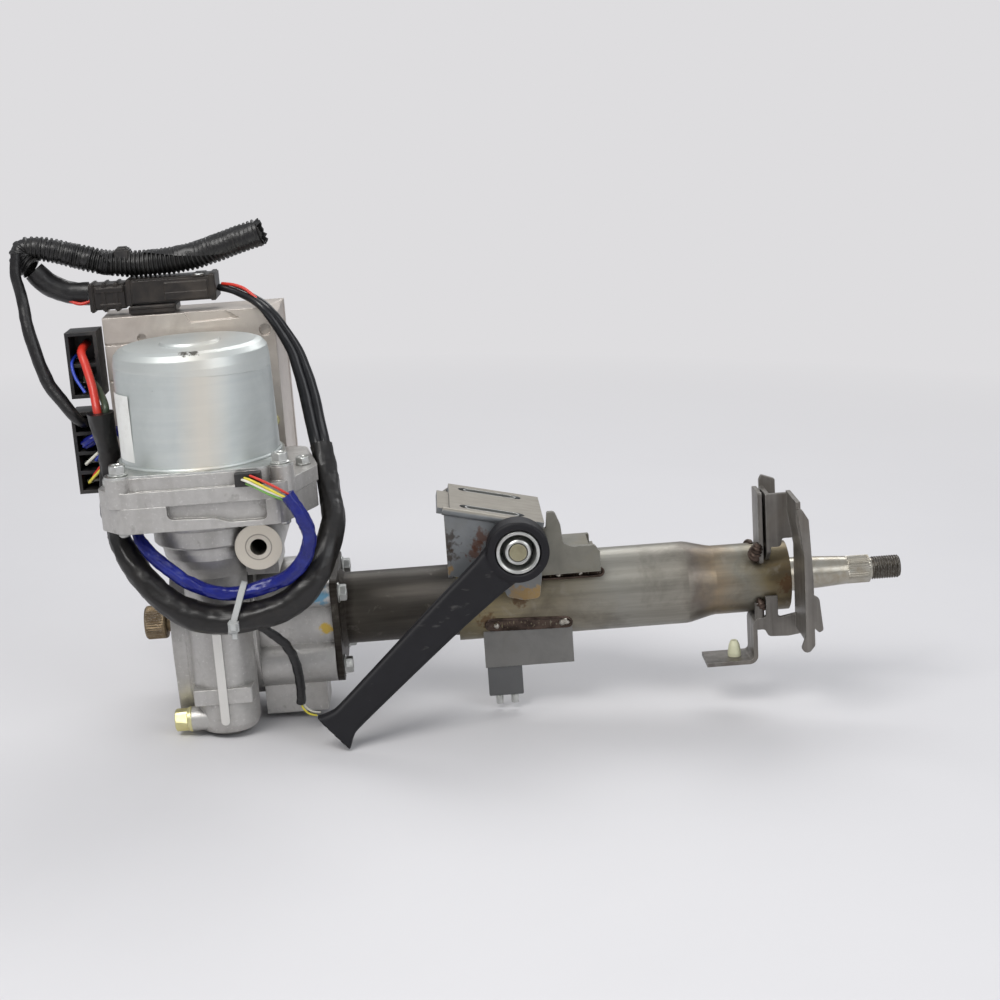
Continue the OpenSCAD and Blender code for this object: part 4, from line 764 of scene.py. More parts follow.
# %% [markdown]
# ## Tools for building meshes
#
# `loft` skins a stack of rings, and most pieces come from it: a lathe is a loft of circles along an
# axis, and a cord is a loft of rings along its route. A ring's radius may depend on the angle and on
# the distance along the piece, and so one function also gives serrations, threads, wrinkles and the
# ridges of a conduit. Where a part is square, a block with rounded edges does.


# %% Mesh helpers
ALONG_X = Matrix.Rotation(math.pi / 2, 4, "Y")
AGAINST_X = Matrix.Rotation(-math.pi / 2, 4, "Y")
ALONG_Y = Matrix.Rotation(-math.pi / 2, 4, "X")
AGAINST_Y = Matrix.Rotation(math.pi / 2, 4, "X")
UPRIGHT = Matrix.Identity(4)
TURN = 2 * math.pi


def loft(mesh, rings, closed=True):
    """Skins the rings, each a list of points, and closes both ends unless told not to."""
    rows = [[mesh.verts.new(point) for point in ring] for ring in rings]
    for first, second in zip(rows, rows[1:]):
        for i in range(len(first)):
            j = (i + 1) % len(first)
            mesh.faces.new((first[i], first[j], second[j], second[i]))
    if closed:
        mesh.faces.new(list(reversed(rows[0])))
        mesh.faces.new(rows[-1])


def place_piece(name, mesh, finish, node=None, body="gear_unit", sharp=35):
    """Turns a mesh built in column millimetres into a piece that rides on a body."""
    bmesh.ops.recalc_face_normals(mesh, faces=mesh.faces[:])
    mesh.transform(COLUMN)
    data = bpy.data.meshes.new(name)
    mesh.to_mesh(data)
    mesh.free()
    data.shade_smooth()
    data.set_sharp_from_angle(angle=math.radians(sharp))
    data.materials.append(FINISHES[finish])
    piece = bpy.data.objects.new(name, data)
    scene.collection.objects.link(piece)
    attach(piece, body)
    if node:
        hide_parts(node)
    return piece


def turned(mesh, profile, where, turn=UPRIGHT, sides=64, radius_at=None, closed=True):
    """A lathe: profile is [(radius, height)], and radius_at may change a radius by angle and height."""
    rings = []
    pose = Matrix.Translation(where) @ turn
    for radius, height in profile:
        ring = []
        for k in range(sides):
            angle = TURN * k / sides
            r = radius_at(radius, angle, height) if radius_at else radius
            ring.append(pose @ Vector((r * math.cos(angle), r * math.sin(angle), height)))
        rings.append(ring)
    loft(mesh, rings, closed)


def hoop(mesh, profile, where, turn, sides):
    """A lathe whose profile goes all the way round and meets itself."""
    turned(mesh, profile + profile[:1], where, turn, sides, closed=False)


def block(mesh, low, high, bevel, segments=2):
    """A box between two corners with rounded edges."""
    low, high = Vector(low), Vector(high)
    made = bmesh.ops.create_cube(mesh, size=1.0)["verts"]
    pose = Matrix.Translation((low + high) / 2) @ Matrix.Diagonal((*(high - low), 1))
    bmesh.ops.transform(mesh, matrix=pose, verts=made)
    edges = list({edge for vert in made for edge in vert.link_edges})
    bmesh.ops.bevel(mesh, geom=edges, offset=bevel, segments=segments, affect="EDGES")


def block_piece(name, boxes, finish, node=None):
    """A piece of rounded boxes, each given as block takes them."""
    mesh = bmesh.new()
    for box in boxes:
        block(mesh, *box)
    return place_piece(name, mesh, finish, node)


print("meshes are built in mm and scaled by", round(COLUMN.to_scale().x, 4))

# %% [markdown]
# ## Cords
#
# A wire is a tube round a smooth curve. Its route is a few listed points, each with a radius, and
# the curve passes through all of them, so that one point can be moved without upsetting the others.
# The curve is cut into even steps, and at each step a ring is turned round it without twist. A noise
# over the skin of a cord gives dents and creases.


# %% Cord helpers
CURVE_PARTS = 16


def smooth_route(route, step):
    """A smooth curve through given [x, y, z, radius] points, in even steps."""
    fine = []
    last = len(route) - 1
    for i in range(last):
        near = [route[max(i - 1, 0)], route[i], route[i + 1], route[min(i + 2, last)]]
        for k in range(CURVE_PARTS):
            t = k / CURVE_PARTS
            fine.append([
                0.5 * (2 * b + (c - a) * t + (2 * a - 5 * b + 4 * c - d) * t * t
                       + (3 * b - a - 3 * c + d) * t**3)
                for a, b, c, d in zip(*near)
            ])
    fine.append(list(route[-1]))
    lengths = [0.0]
    for first, second in zip(fine, fine[1:]):
        lengths.append(lengths[-1] + (Vector(second[:3]) - Vector(first[:3])).length)
    count = max(2, round(lengths[-1] / step))
    steps = []
    i = 0
    for k in range(count + 1):
        wanted = lengths[-1] * k / count
        while i < len(lengths) - 2 and lengths[i + 1] < wanted:
            i += 1
        share = (wanted - lengths[i]) / max(lengths[i + 1] - lengths[i], 1e-9)
        steps.append([a + (b - a) * share for a, b in zip(fine[i], fine[i + 1])])
    return steps, lengths[-1]


def stations(route, step):
    """Places along a route: centre, radius, distance, and two directions square to the way."""
    steps, length = smooth_route(route, step)
    centres = [Vector(s[:3]) for s in steps]
    last = len(centres) - 1
    across = Vector((0, 1, 0))
    made = []
    for i, centre in enumerate(centres):
        way = (centres[min(i + 1, last)] - centres[max(i - 1, 0)]).normalized()
        across = (across - across.dot(way) * way).normalized()
        made.append((centre, steps[i][3], length * i / last, across, way.cross(across)))
    return made


def cord(mesh, route, step, sides, radius_at=None, closed=True):
    """A tube along a route. radius_at(radius, angle, distance) shapes its surface."""
    path = stations(route, step)
    rings = []
    for centre, radius, distance, across, over in path:
        ring = []
        for k in range(sides):
            angle = TURN * k / sides
            r = radius_at(radius, angle, distance) if radius_at else radius
            ring.append(centre + r * (math.cos(angle) * across + math.sin(angle) * over))
        rings.append(ring)
    loft(mesh, rings, closed)
    return path


def skin_noise(along, girth, angle, seed=0):
    """A noise over a round skin, from -1 to 1. A small girth gives marks that reach far round."""
    return noise.noise(Vector((along, girth * math.cos(angle), girth * math.sin(angle) + seed)))


print("noise at one place of a skin:", round(skin_noise(1.0, 1.0, 0.5), 3))

# %% [markdown]
# ## Bolt heads
#
# The motor is held by flanged hexagon bolts, and so is the jacket's flange. A CAD bolt is a plain
# hexagon prism. The real head has a washer-like flange below, a chamfer that cuts the corners round
# and a shallow dish on top, and those three catch the light. All of that is one lathe whose radius
# follows a hexagon: the chamfer comes from limiting the hexagon to a circle that shrinks upwards.


# %% Bolt head helper
HEAD_FLANGE = 1.2


def hexagon(flat_radius):
    """Radius of a hexagon with that inner radius, at an angle."""
    def radius(angle):
        sixth = math.pi / 3
        return flat_radius / math.cos((angle + sixth / 2) % sixth - sixth / 2)
    return radius


def bolt_head(mesh, where, turn, flats, height, flange_r, dish=0.5):
    """A hexagon head with its flange. Flats is the size across the flats."""
    outline = hexagon(flats / 2)
    corner = flats / 2 / math.cos(math.pi / 6)
    turned(mesh, [(flange_r - 0.3, 0), (flange_r, 0.25), (flange_r, HEAD_FLANGE * 0.6),
                  (flange_r - 0.6, HEAD_FLANGE), (flats / 2 * 0.8, HEAD_FLANGE + 0.2)], where, turn, 48)
    rows = [(corner, HEAD_FLANGE * 0.8), (corner, height - 0.9), (corner * 0.94, height - 0.35),
            (corner * 0.86, height), (corner * 0.6, height), (corner * 0.52, height - dish),
            (0.05, height - dish)]
    turned(mesh, rows, where, turn, 48, lambda r, angle, h: min(r, outline(angle)) if r > 0.1 else r)


print("corner of an 8.2 mm hexagon in mm:", round(hexagon(4.1)(math.pi / 6), 2))

# %% [markdown]
# ## The bolts in their places
#
# The motor's flange and its adapter are two stacked castings. Three bolts stand on the adapter and
# two on its lower step, and their shanks go down to the flange's underside. Four more hold the
# jacket. The bolt beside the drain has a washer, and the case screws have a socket for a key.

# %% Bolts
MOTOR_BOLTS = [(-40, -85), (46.5, -82), (-34, -5)]
LOW_MOTOR_BOLTS = [(56, -51), (-47.3, -70)]
FLANGE_BOTTOM = 78
STEP_TOP = 100.5
ADAPTER_TOP = 109.2
FLANGE_HOLES = [(-28, 18), (28, 18), (-25, -27), (25, -27)]
CASE_SCREWS = [(-46, 159), (-48, 118), (37, 116)]
WASHER = [(4.2, 0), (7.0, 0), (7.2, 0.3), (7.2, 1.3), (6.9, 1.6), (4.2, 1.6)]
SCREW = [(3.5, 0), (3.5, 1.4), (3.1, 2.1), (2.2, 2.2), (2.0, 2.1), (2.0, 0.9), (0.05, 0.9)]

bolts = bmesh.new()
for x, y in MOTOR_BOLTS:
    bolt_head(bolts, (x, y, ADAPTER_TOP), UPRIGHT, 8.2, 5.8, 5.4)
    turned(bolts, [(3, -1.5), (3, ADAPTER_TOP - FLANGE_BOTTOM + 0.5)], (x, y, FLANGE_BOTTOM), sides=32)
    turned(bolts, [(2.0, -3), (3.0, -2.1), (3.0, -1)], (x, y, FLANGE_BOTTOM), sides=32)
for x, y in LOW_MOTOR_BOLTS:
    bolt_head(bolts, (x, y, STEP_TOP), UPRIGHT, 7.4, 4.4, 4.1)
    turned(bolts, [(3, 2), (3, STEP_TOP - FLANGE_BOTTOM + 0.5)], (x, y, FLANGE_BOTTOM), sides=32)
place_piece("flanged_motor_bolts", bolts, "zinc", "motor_bolts")

bolts = bmesh.new()
for y, z in FLANGE_HOLES:
    bolt_head(bolts, (67, y, z), ALONG_X, 8.6, 5.2, 6.0)
    turned(bolts, [(3, -4.5), (3, 0.5)], (67, y, z), ALONG_X, 32)
place_piece("flanged_tube_bolts", bolts, "zinc", "flange_bolts")

bolts = bmesh.new()
turned(bolts, WASHER, (-20, -53, -43), AGAINST_X, 48)
bolt_head(bolts, (-21.4, -53, -43), AGAINST_X, 11.4, 8.2, 6.9, dish=1.2)
place_piece("drain_side_bolt", bolts, "pale_zinc", "jack_bolt")

bolts = bmesh.new()
recess = hexagon(1.7)
for x, z in CASE_SCREWS:
    turned(bolts, SCREW, (x, 3, z), AGAINST_Y, 36,
           lambda r, angle, h: min(r, recess(angle)) if r < 2.1 else r)
place_piece("case_screws", bolts, "pale_zinc", "controller_screws")
print("bolt heads made:", len(MOTOR_BOLTS + LOW_MOTOR_BOLTS + FLANGE_HOLES + CASE_SCREWS) + 1)

# %% [markdown]
# ## The steering wheel's shaft
#
# The end of the shaft holds the steering wheel: a polished taper, a fine serration, a groove and a
# thread. Each is one term in a lathe's radius. The serration's teeth run along the shaft, so the
# radius depends on the angle only. A thread climbs as it turns, so there the radius depends on the
# height less a share of the angle.


# %% Steering shaft
WHEEL_TEETH = 36
THREAD_PITCH = 1.5
THREAD_START = 384.2


def saw(share):
    """A triangle wave between 0 and 1."""
    return abs(2 * (share % 1) - 1)


def serrated(r, angle, x, first, last, run_out, depth, teeth):
    """The radius of a serration, whose teeth run out at both of its ends."""
    fade = min(1, (x - first) / run_out, (last - x) / run_out)
    return r - depth * fade * saw(angle / TURN * teeth)


def shaft_profile(corners):
    """Fills the straight stretches of a profile, so that its surface can carry detail."""
    profile = []
    for (r0, h0, step), (r1, h1, _) in zip(corners, corners[1:]):
        count = max(1, round((h1 - h0) / step)) if step else 1
        profile += [(r0 + (r1 - r0) * k / count, h0 + (h1 - h0) * k / count) for k in range(count)]
    return profile + [corners[-1][:2]]


def wheel_end(r, angle, x):
    if 368.6 <= x <= 382.6:
        return serrated(r, angle, x, 368.6, 382.6, 1.2, 0.45, WHEEL_TEETH)
    if 384.8 <= x <= 400.3 and r > 6.2:
        return r - 0.8 * saw((x / THREAD_PITCH) - angle / TURN)
    return r


SHAFT_CORNERS = [
    (8.3, 122, 0), (12, 122, 0), (12, 256, 0), (10.5, 260, 0), (10.5, 333, 0), (10.2, 333.6, 0),
    (9.5, 351.2, 0), (9.5, 351.6, 4), (8.4, 368.4, 0), (8.35, 368.6, 0.6), (8.35, 382.6, 0),
    (6.3, 383.1, 0), (6.3, 384.1, 0), (7, 384.8, 0.25), (7, 400.3, 0), (6, 401.1, 0), (0.05, 401.1, 0),
]
mesh = bmesh.new()
turned(mesh, shaft_profile(SHAFT_CORNERS), (0, 0, 0), ALONG_X, 144, wheel_end)
shaft = place_piece("steering_shaft", mesh, "shaft", "upper_shaft", "steering_shaft", 28)
shaft.data.materials.append(FINISHES["thread"])
to_column = COLUMN.inverted()
for face in shaft.data.polygons:
    if (to_column @ face.center).x > THREAD_START:
        face.material_index = 1
print("faces of the steering shaft:", len(shaft.data.polygons))

# %% [markdown]
# ## The serrated stub
#
# At the other end the column drives a universal joint through a short serrated stub. It has the same
# kind of teeth, coarser and browned by oil.


# %% Output stub
STUB_TEETH = 40
STUB_CORNERS = [
    (0.05, -48.6, 0), (4.5, -48.6, 0), (5.5, -49.5, 0), (9, -49.5, 0), (10, -48.5, 0.8), (10, -38, 0),
    (9.4, -37, 0), (6.2, -36.6, 0), (6, -33, 0), (8.4, -31.2, 0), (8.5, -30, 0), (8.5, -14, 0),
    (10, -14, 0), (10, 34, 0), (4.2, 34, 0),
]


def stub_end(r, angle, x):
    if -48.9 < x < -38.2 and r > 9:
        return serrated(r, angle, x, -48.9, -38.2, 1, 0.55, STUB_TEETH)
    return r


mesh = bmesh.new()
turned(mesh, shaft_profile(STUB_CORNERS), (0, 0, 0), ALONG_X, 160, stub_end)
stub = place_piece("serrated_stub", mesh, "stub", "output_shaft", "lower_train", 28)
print("faces of the stub:", len(stub.data.polygons))

# %% [markdown]
# ## The lever
#
# The tilt lever is one casting: a round hub that blends into an arm, which bends outwards as it
# drops and ends in a flared foot. A hub and an arm that only cross each other would show a hard
# seam. Here both go into one mesh, a voxel remesh turns them into one skin, and a few rounds of
# smoothing leave the fillets that a mould has.


# %% Lever
HUB = Vector((172, -49.6, 39.5))
CUP_FLOOR = 13.4
CUP_RADIUS = 12.8
LEVER_ROUTE = [
    (172, -42.2, 39.5, 30.5), (163, -43.2, 32.6, 27.5), (154, -46, 25.6, 24.5), (133, -52.4, 9.5, 22.2),
    (112, -59.6, -7.2, 20.4), (88, -69, -26.3, 18.4), (70, -76.4, -40.6, 17.4), (66.2, -78, -43.6, 19.5),
    (63.2, -79.2, -46.2, 23.5), (61.4, -79.8, -47.7, 26.6),
]
LEVER_T = 8
LEVER_CORNER = 2.6
VOXEL = 0.62
SMOOTHING_ROUNDS = 5
HUB_SIDE = [
    (12.9, 2.2), (13.1, 0.5), (14.0, 0), (17.0, 0.1), (17.8, 0.8), (18, 2), (18, 14.6), (17, 15.9),
    (6, 16), (6, CUP_FLOOR), (12.7, CUP_FLOOR),
]


def rounded_slice(centre, way, width):
    """A rounded rectangle across the arm, flat towards the viewer."""
    along = Vector((way.x, 0, way.z)).normalized()
    across = Vector((-along.z, 0, along.x))
    ring = []
    for sx, sy, start in [(1, 1, 0), (-1, 1, 90), (-1, -1, 180), (1, -1, 270)]:
        for k in range(5):
            angle = math.radians(start + 90 * k / 4)
            x = sx * (width / 2 - LEVER_CORNER) + LEVER_CORNER * math.cos(angle)
            y = sy * (LEVER_T / 2 - LEVER_CORNER) + LEVER_CORNER * math.sin(angle)
            ring.append(centre + across * x + Vector((0, 1, 0)) * y)
    return ring


def lever_casting():
    mesh = bmesh.new()
    steps, _ = smooth_route(LEVER_ROUTE, 3.0)
    points = [Vector(s[:3]) for s in steps]
    rings = []
    for i, point in enumerate(points):
        way = points[min(i + 1, len(points) - 1)] - points[max(i - 1, 0)]
        rings.append(rounded_slice(point, way, steps[i][3]))
    loft(mesh, rings)
    hoop(mesh, HUB_SIDE, HUB, ALONG_Y, 72)
    bmesh.ops.recalc_face_normals(mesh, faces=mesh.faces[:])
    data = bpy.data.meshes.new("lever_rough")
    mesh.to_mesh(data)
    mesh.free()
    rough = bpy.data.objects.new("lever_rough", data)
    scene.collection.objects.link(rough)
    remesh = rough.modifiers.new("one_skin", "REMESH")
    remesh.mode = "VOXEL"
    remesh.voxel_size = VOXEL
    soften = rough.modifiers.new("fillets", "SMOOTH")
    soften.factor = 0.5
    soften.iterations = SMOOTHING_ROUNDS
    skin = bmesh.new()
    skin.from_object(rough, bpy.context.evaluated_depsgraph_get())
    bpy.data.objects.remove(rough)
    return skin


casting = lever_casting()
for vert in casting.verts:
    away = Vector((vert.co.x - HUB.x, 0, vert.co.z - HUB.z))
    if away.length < CUP_RADIUS and 0 < vert.co.y - HUB.y < CUP_FLOOR:
        vert.co.y = HUB.y + CUP_FLOOR
lever = place_piece("tilt_lever", casting, "lever", "lever", "lock_lever", 60)
print("lever faces:", len(lever.data.polygons))

# %% [markdown]
# ## The clamp nut in its cup
#
# In the lever's hub sits a bright zinc cup washer with the clamp nut inside it. From the front it is
# a set of rings: a rolled outer rim, a deep polished trough, the nut's round collar and, in the
# middle, the dull end of the bolt.

# %% Clamp nut
CUP = [
    (10.2, 1.4), (10.6, 0.5), (11.6, 0.1), (12.3, 0.3), (12.6, 1.2), (12.6, 9.8), (9.2, 9.8), (9.2, 7.6),
    (10.0, 5),
]
COLLAR = [
    (5.2, 2.2), (5.6, 1.4), (6.6, 1.1), (7.3, 1.6), (7.6, 3), (8.9, 8.6), (8.9, 9.6), (5.1, 9.6), (5.1, 3),
]
nut = bmesh.new()
for profile in (CUP, COLLAR):
    hoop(nut, profile, HUB, ALONG_Y, 72)
nut = place_piece("cupped_clamp_nut", nut, "zinc", "clamp_nut", "lock_lever")
print("faces of the nut:", len(nut.data.polygons))

# %% [markdown]
# ## Weld beads
#
# The brackets are welded to the jacket. A narrow bead is a row of overlapping ripples: a cord whose
# radius swells and shrinks every millimetre and a half, with a noise on top so that no two ripples are
# the same. Two of the welds are wide and dark, with a raised rim; they lie in the shaded groove under
# the brackets' edges, and their dark colour is partly painted shade. Those are a strip laid on the tube's
# curve, whose height depends on the distance to its own edge. Bright craters mark where the torch
# stopped.


# %% Weld helpers
JACKET_RADIUS = 24.4
BEAD_RIPPLE = 1.6
POOL_RIPPLE = 1.7
POOL_DEPTH = 1.4


def bead(mesh, route, seed):
    def radius(r, angle, distance):
        lump = 0.25 * noise.noise(Vector((distance * 0.35, math.cos(angle), seed)))
        return r * (1 + 0.12 * math.cos(TURN * distance / BEAD_RIPPLE) + lump)
    cord(mesh, route, 0.4, 14, radius)


def on_jacket(x, degrees, lift):
    """A point over the upper jacket: degrees above the viewer's side, lift above the steel."""
    angle = math.radians(degrees)
    r = JACKET_RADIUS + lift
    return Vector((x, -r * math.cos(angle), r * math.sin(angle)))


def weld_pool(mesh, first, last, half_width, seed):
    """A wide bead between two places (x, degrees): a raised rim round a rippled floor."""
    rows, columns = 70, 16
    rings = []
    for i in range(rows + 1):
        share = i / rows
        x = first[0] + (last[0] - first[0]) * share
        degrees = first[1] + (last[1] - first[1]) * share
        from_end = min(x - first[0], last[0] - x)
        wide = max(0.6, math.sqrt(half_width**2 - max(0, half_width - from_end) ** 2))
        ring = []
        for k in range(columns + 1):
            side = 2 * k / columns - 1
            deep = min(wide * (1 - abs(side)), from_end + 0.1)
            rim = 1.5 * min(1, deep / 0.9) - 1.0 * max(0, min(1, (deep - 1.1) / 1.1))
            rough = 0.35 * noise.noise(Vector((x * 0.7, side * 2.5, seed)))
            ripple = 0.1 * math.cos(TURN * (x + side * side * 0.8) / POOL_RIPPLE)
            lift = -0.4 + rim + (rough + ripple) * min(1, deep)
            ring.append(on_jacket(x, degrees + math.degrees(side * wide / JACKET_RADIUS), lift))
        for side in (1, -1):
            ring.append(on_jacket(x, degrees + math.degrees(side * wide / JACKET_RADIUS), -POOL_DEPTH))
        rings.append(ring)
    loft(mesh, rings)


def weld_lump(mesh, x, degrees, size, seed):
    """The crater where the torch stopped: a bright, flattened drop on the bead."""
    def radius(r, angle, height):
        return r * (1 + 0.5 * noise.noise(Vector((1.3 * math.cos(angle), 1.3 * math.sin(angle), seed))))
    profile = [(size, -1), (size, 0.4), (size * 0.85, 0.9), (size * 0.5, 1.25), (0.05, 1.35)]
    outward = Matrix.Rotation(math.radians(90 - degrees), 4, "X")
    turned(mesh, profile, on_jacket(x, degrees, 0.3), outward, 24, radius)


print("near side of the jacket:", [round(c, 1) for c in on_jacket(200, 0, 0)])

# %% [markdown]
# ## Where the welds lie
#
# The narrow beads follow short routes round the feet of the brackets, and one lies on each side of
# the tilt bracket's plate. The wide welds are given by the place along the tube and the degrees round
# it, and the craters lie on them.

# %% Weld beads
JACKET_BEADS = [
    [(152, 17.2, 17.6, 1.0), (160, 17.2, 17.6, 1.9), (212, 17.2, 17.6, 1.9), (219, 17.2, 17.6, 0.9)],
    [(311.4, -13.6, 16.6, 2.0), (312, -17.6, 18.6, 4.0), (312.4, -20.6, 22.4, 4.2),
     (313.4, -21.6, 26.6, 2.0)],
    [(312.6, -19.2, -7.5, 1.2), (313.8, -20.2, -10.5, 2.8), (315, -19.7, -13, 2.3),
     (315.6, -18.5, -15, 1.0)],
    [(312.6, 15.5, 13.4, 1.0), (312.4, 11, 17.2, 2.4), (312.6, 5, 20, 1.8), (312.8, 0, 20.4, 0.9)],
]
MOUNT_BEAD = [(140, 27.9, 59.2, 0.8), (143, 27.8, 58.4, 1.5), (155, 27.8, 55.6, 1.4), (158, 27.9, 54.9, 0.7)]
CRATERS = [(157.4, -27, 1.8), (197, -29, 2.8), (195.6, 41, 1.8), (208.6, 41.5, 1.6)]

jacket_beads = bmesh.new()
for index, route in enumerate(JACKET_BEADS):
    bead(jacket_beads, route, index * 3.7)
# The wide pools lie in the shaded groove under the brackets' edges: their dark colour is partly painted
# shade.
weld_pool(jacket_beads, (150.4, -26), (202.6, -32), 5.4, 1)
weld_pool(jacket_beads, (184, 42), (223, 41), 3.6, 5)
place_piece("jacket_weld_beads", jacket_beads, "weld", body="upper_column", sharp=80)
craters = bmesh.new()
for index, (x, degrees, size) in enumerate(CRATERS):
    weld_lump(craters, x, degrees, size, 3 + index)
place_piece("weld_craters", craters, "bright_weld", body="upper_column", sharp=80)
mount_beads = bmesh.new()
for index, side in enumerate((-1, 1)):
    bead(mount_beads, [(x, side * y, z, r) for x, y, z, r in MOUNT_BEAD], 20 + index)
place_piece("mount_weld_beads", mount_beads, "weld", body="tilt_mount", sharp=80)
print("weld beads:", len(JACKET_BEADS) + 4, "craters:", len(CRATERS))

# %% [markdown]
# ## The wiring
#
# The wiring is what people see first at the motor's end. Its routes are listed points in column
# millimetres, each with a radius: [x, y, z, radius]. They are the same as those of the plain CAD
# tubes, so every sleeve lies where the frame says. The right, red and green wires have one point more,
# which takes them into the main sleeve. The loom is the one free cord: a corrugated conduit that was
# cut off where the rest of the car's wiring began.

# %% Routes of the wiring
LOOM_ROUTE = [
    (-93.5, 15.5, 212, 6), (-99, 17, 217, 6), (-97, 19, 223, 6), (-86, 20, 222, 6.3), (-69, 21, 217, 6.6),
    (-50, 21, 211.5, 6.8), (-27, 21, 210, 7), (-6, 21, 211.5, 7.2), (12, 20, 216, 7.3), (38, 18, 223.5, 7.4),
]
TAPED_ROUTE = [(-63.2, 18, 195, 7), (-74, 17.5, 196.5, 7), (-85, 16.5, 202, 7), (-92.5, 15.5, 210.5, 6.5)]
SIDE_ROUTE = [
    (-99.5, 7, 222, 3), (-101, 6, 210, 3.4), (-99, 6, 195, 3.6), (-96, 0, 176, 3.8), (-89, -5, 151, 4),
    (-80, -9, 137, 4), (-74, -11, 129, 3.6), (-70.5, -6, 124, 3.2), (-70.5, 10, 123.2, 3.2),
    (-70.5, 13.9, 123.2, 3.2),
]
RIGHT_ROUTE = [
    (13.2, 14.5, 194, 3.5), (24, 9, 191, 3.6), (39, -3.2, 182.5, 4), (52, -5, 161, 4.8), (57, -8, 146, 5.5),
    (60, -11, 132, 6), (62, -14, 118, 6), (64, -18, 106, 6), (66, -25, 96, 5.6),
]
MAIN_ROUTE = [
    (64.6, -19.5, 104, 6.5), (66.8, -28, 91, 6.5), (68.5, -40, 80, 6.8), (70, -53, 70, 7), (68, -64, 61, 7.5),
    (63, -72, 50, 8), (53, -76.5, 36, 8.3), (40, -78, 27, 8.5), (22, -78, 23, 8.5), (2, -78, 23, 8.5),
    (-15, -77.5, 29, 8.3), (-29, -75, 41, 8), (-40, -70, 55, 7.4), (-47, -61, 66, 6.6), (-51, -49, 71, 6),
    (-55, -38, 77, 6), (-56, -30, 86, 6), (-55.5, -24, 98, 6.2), (-54.5, -26, 110, 6.6), (-55, -30, 122, 7.2),
    (-55.5, -31, 134, 8),
]
RED_ROUTE = [
    (-56.6, -30.6, 128, 2.4), (-57.5, -30, 135.4, 2.4), (-60, -22, 147, 2.4), (-64, -13, 158, 2.4),
    (-67, -6, 165, 2.4), (-67, 8, 167, 2.4), (-67, 13.9, 167, 2.4),
]
GREEN_ROUTE = [
    (-53.4, -30.6, 129, 2), (-52.5, -30, 136.4, 2), (-56, -20, 142, 2), (-61, -11, 147.5, 2),
    (-66, -5, 149, 2), (-67, 8, 149, 2), (-67, 13.9, 149, 2),
]
BLUE_ROUTE = [
    (50, -97.8, 95, 4.3), (57, -97, 82, 4.3), (59, -91, 68, 4.3), (54, -85, 54.5, 4.3), (45, -81, 45, 4.3),
    (34, -78, 40, 4.3), (20, -77, 37, 4.3), (6, -77, 37.5, 4.3), (-9, -77, 44, 4.3), (-20, -77, 53, 4.2),
    (-29, -76, 62, 4), (-35, -70, 69, 3.7), (-38, -57, 73, 3.4), (-40, -40, 73.5, 3.3), (-42, -26, 73.5, 3.3),
    (-48.5, -16, 74, 3.3), (-48.5, -12, 82, 3.3), (-47.5, -10, 93, 3.3), (-46.5, -9, 106, 3.3),
    (-49, -8, 116, 3.3), (-56, -8.5, 119, 3.2), (-64, -9, 115.5, 3.2), (-70.5, -7, 112, 3.2),
    (-70.5, 8, 112, 3.2), (-70.5, 13.9, 112, 3.2),
]
SENSOR_ROUTE = [
    (25, -70.5, 14.9, 2.6), (31, -67.5, 9, 2.8), (38, -63, 0, 3), (42, -58, -13, 3), (43, -54, -28, 3),
    (42, -51, -39, 3),
]
print("main sleeve in mm:", round(smooth_route(MAIN_ROUTE, 2.0)[1]))

# %% [markdown]
# ## Corrugated conduit
#
# Conduit is a tube of plastic rings, about two and a half millimetres apart. The radius follows a
# flattened wave along the cord, so the ribs have flat crowns and narrow grooves. At the cut end the
# skin is torn, turns inwards and goes back inside, which leaves an open mouth.


# %% Conduit
RIB_PITCH = 2.6
RIB_HEIGHT = 0.65
MOUTH_SHARE = 0.82
MOUTH_DEPTH = 7


def ribbed(r, angle, distance):
    rib = max(-1, min(1, 2.2 * math.sin(TURN * distance / RIB_PITCH)))
    dent = 0.16 * skin_noise(distance * 0.09, 1.3, angle)
    return r * (1 + dent * 0.5) + 0.1 + RIB_HEIGHT * rib


def open_edges(mesh):
    return [edge for edge in mesh.edges if edge.is_boundary]


def turned_in(mesh):
    """Extrudes both open ends, and gives the new points."""
    made = bmesh.ops.extrude_edge_only(mesh, edges=open_edges(mesh))["geom"]
    return [part for part in made if isinstance(part, bmesh.types.BMVert)]


def conduit():
    mesh = bmesh.new()
    path = cord(mesh, LOOM_ROUTE, 0.43, 28, ribbed, closed=False)
    centres = [place[0] for place in path]
    for vert in {vert for edge in open_edges(mesh) for vert in edge.verts}:
        if vert.co.x > 0:
            torn = noise.noise(vert.co * 0.45) + 1.4 * max(0, noise.noise(vert.co * 0.9))
            vert.co += (centres[-1] - centres[-3]).normalized() * (1.2 + 2.0 * torn)
    ends = [(centres[0], centres[3]), (centres[-1], centres[-4])]
    for vert in turned_in(mesh):
        mouth, inside = min(ends, key=lambda pair: (vert.co - pair[0]).length)
        vert.co = mouth + (vert.co - mouth) * MOUTH_SHARE
    for vert in turned_in(mesh):
        mouth, inside = min(ends, key=lambda pair: (vert.co - pair[0]).length)
        vert.co = vert.co + (inside - mouth).normalized() * MOUTH_DEPTH
    bmesh.ops.holes_fill(mesh, edges=open_edges(mesh))
    piece = place_piece("loom_conduit", mesh, "conduit", "loom", sharp=50)
    return piece, [COLUMN @ centre for centre in centres], path[-1][2] * MM


loom, loom_path, loom_length = conduit()
print("loom length in mm:", round(loom_length * 1000, 1))

# %% [markdown]
# ## Tape and vinyl sleeves
#
# Tape is wound at a slant, so its overlaps make a low spiral step along the bundle. Vinyl sleeve has
# no step but creases where it bends. Both are a radius that depends on the angle and the distance:
# the tape's step is a saw tooth of distance plus angle, and the creases are a noise that is drawn out
# along the cord. The two wires on the right lie side by side in one piece.


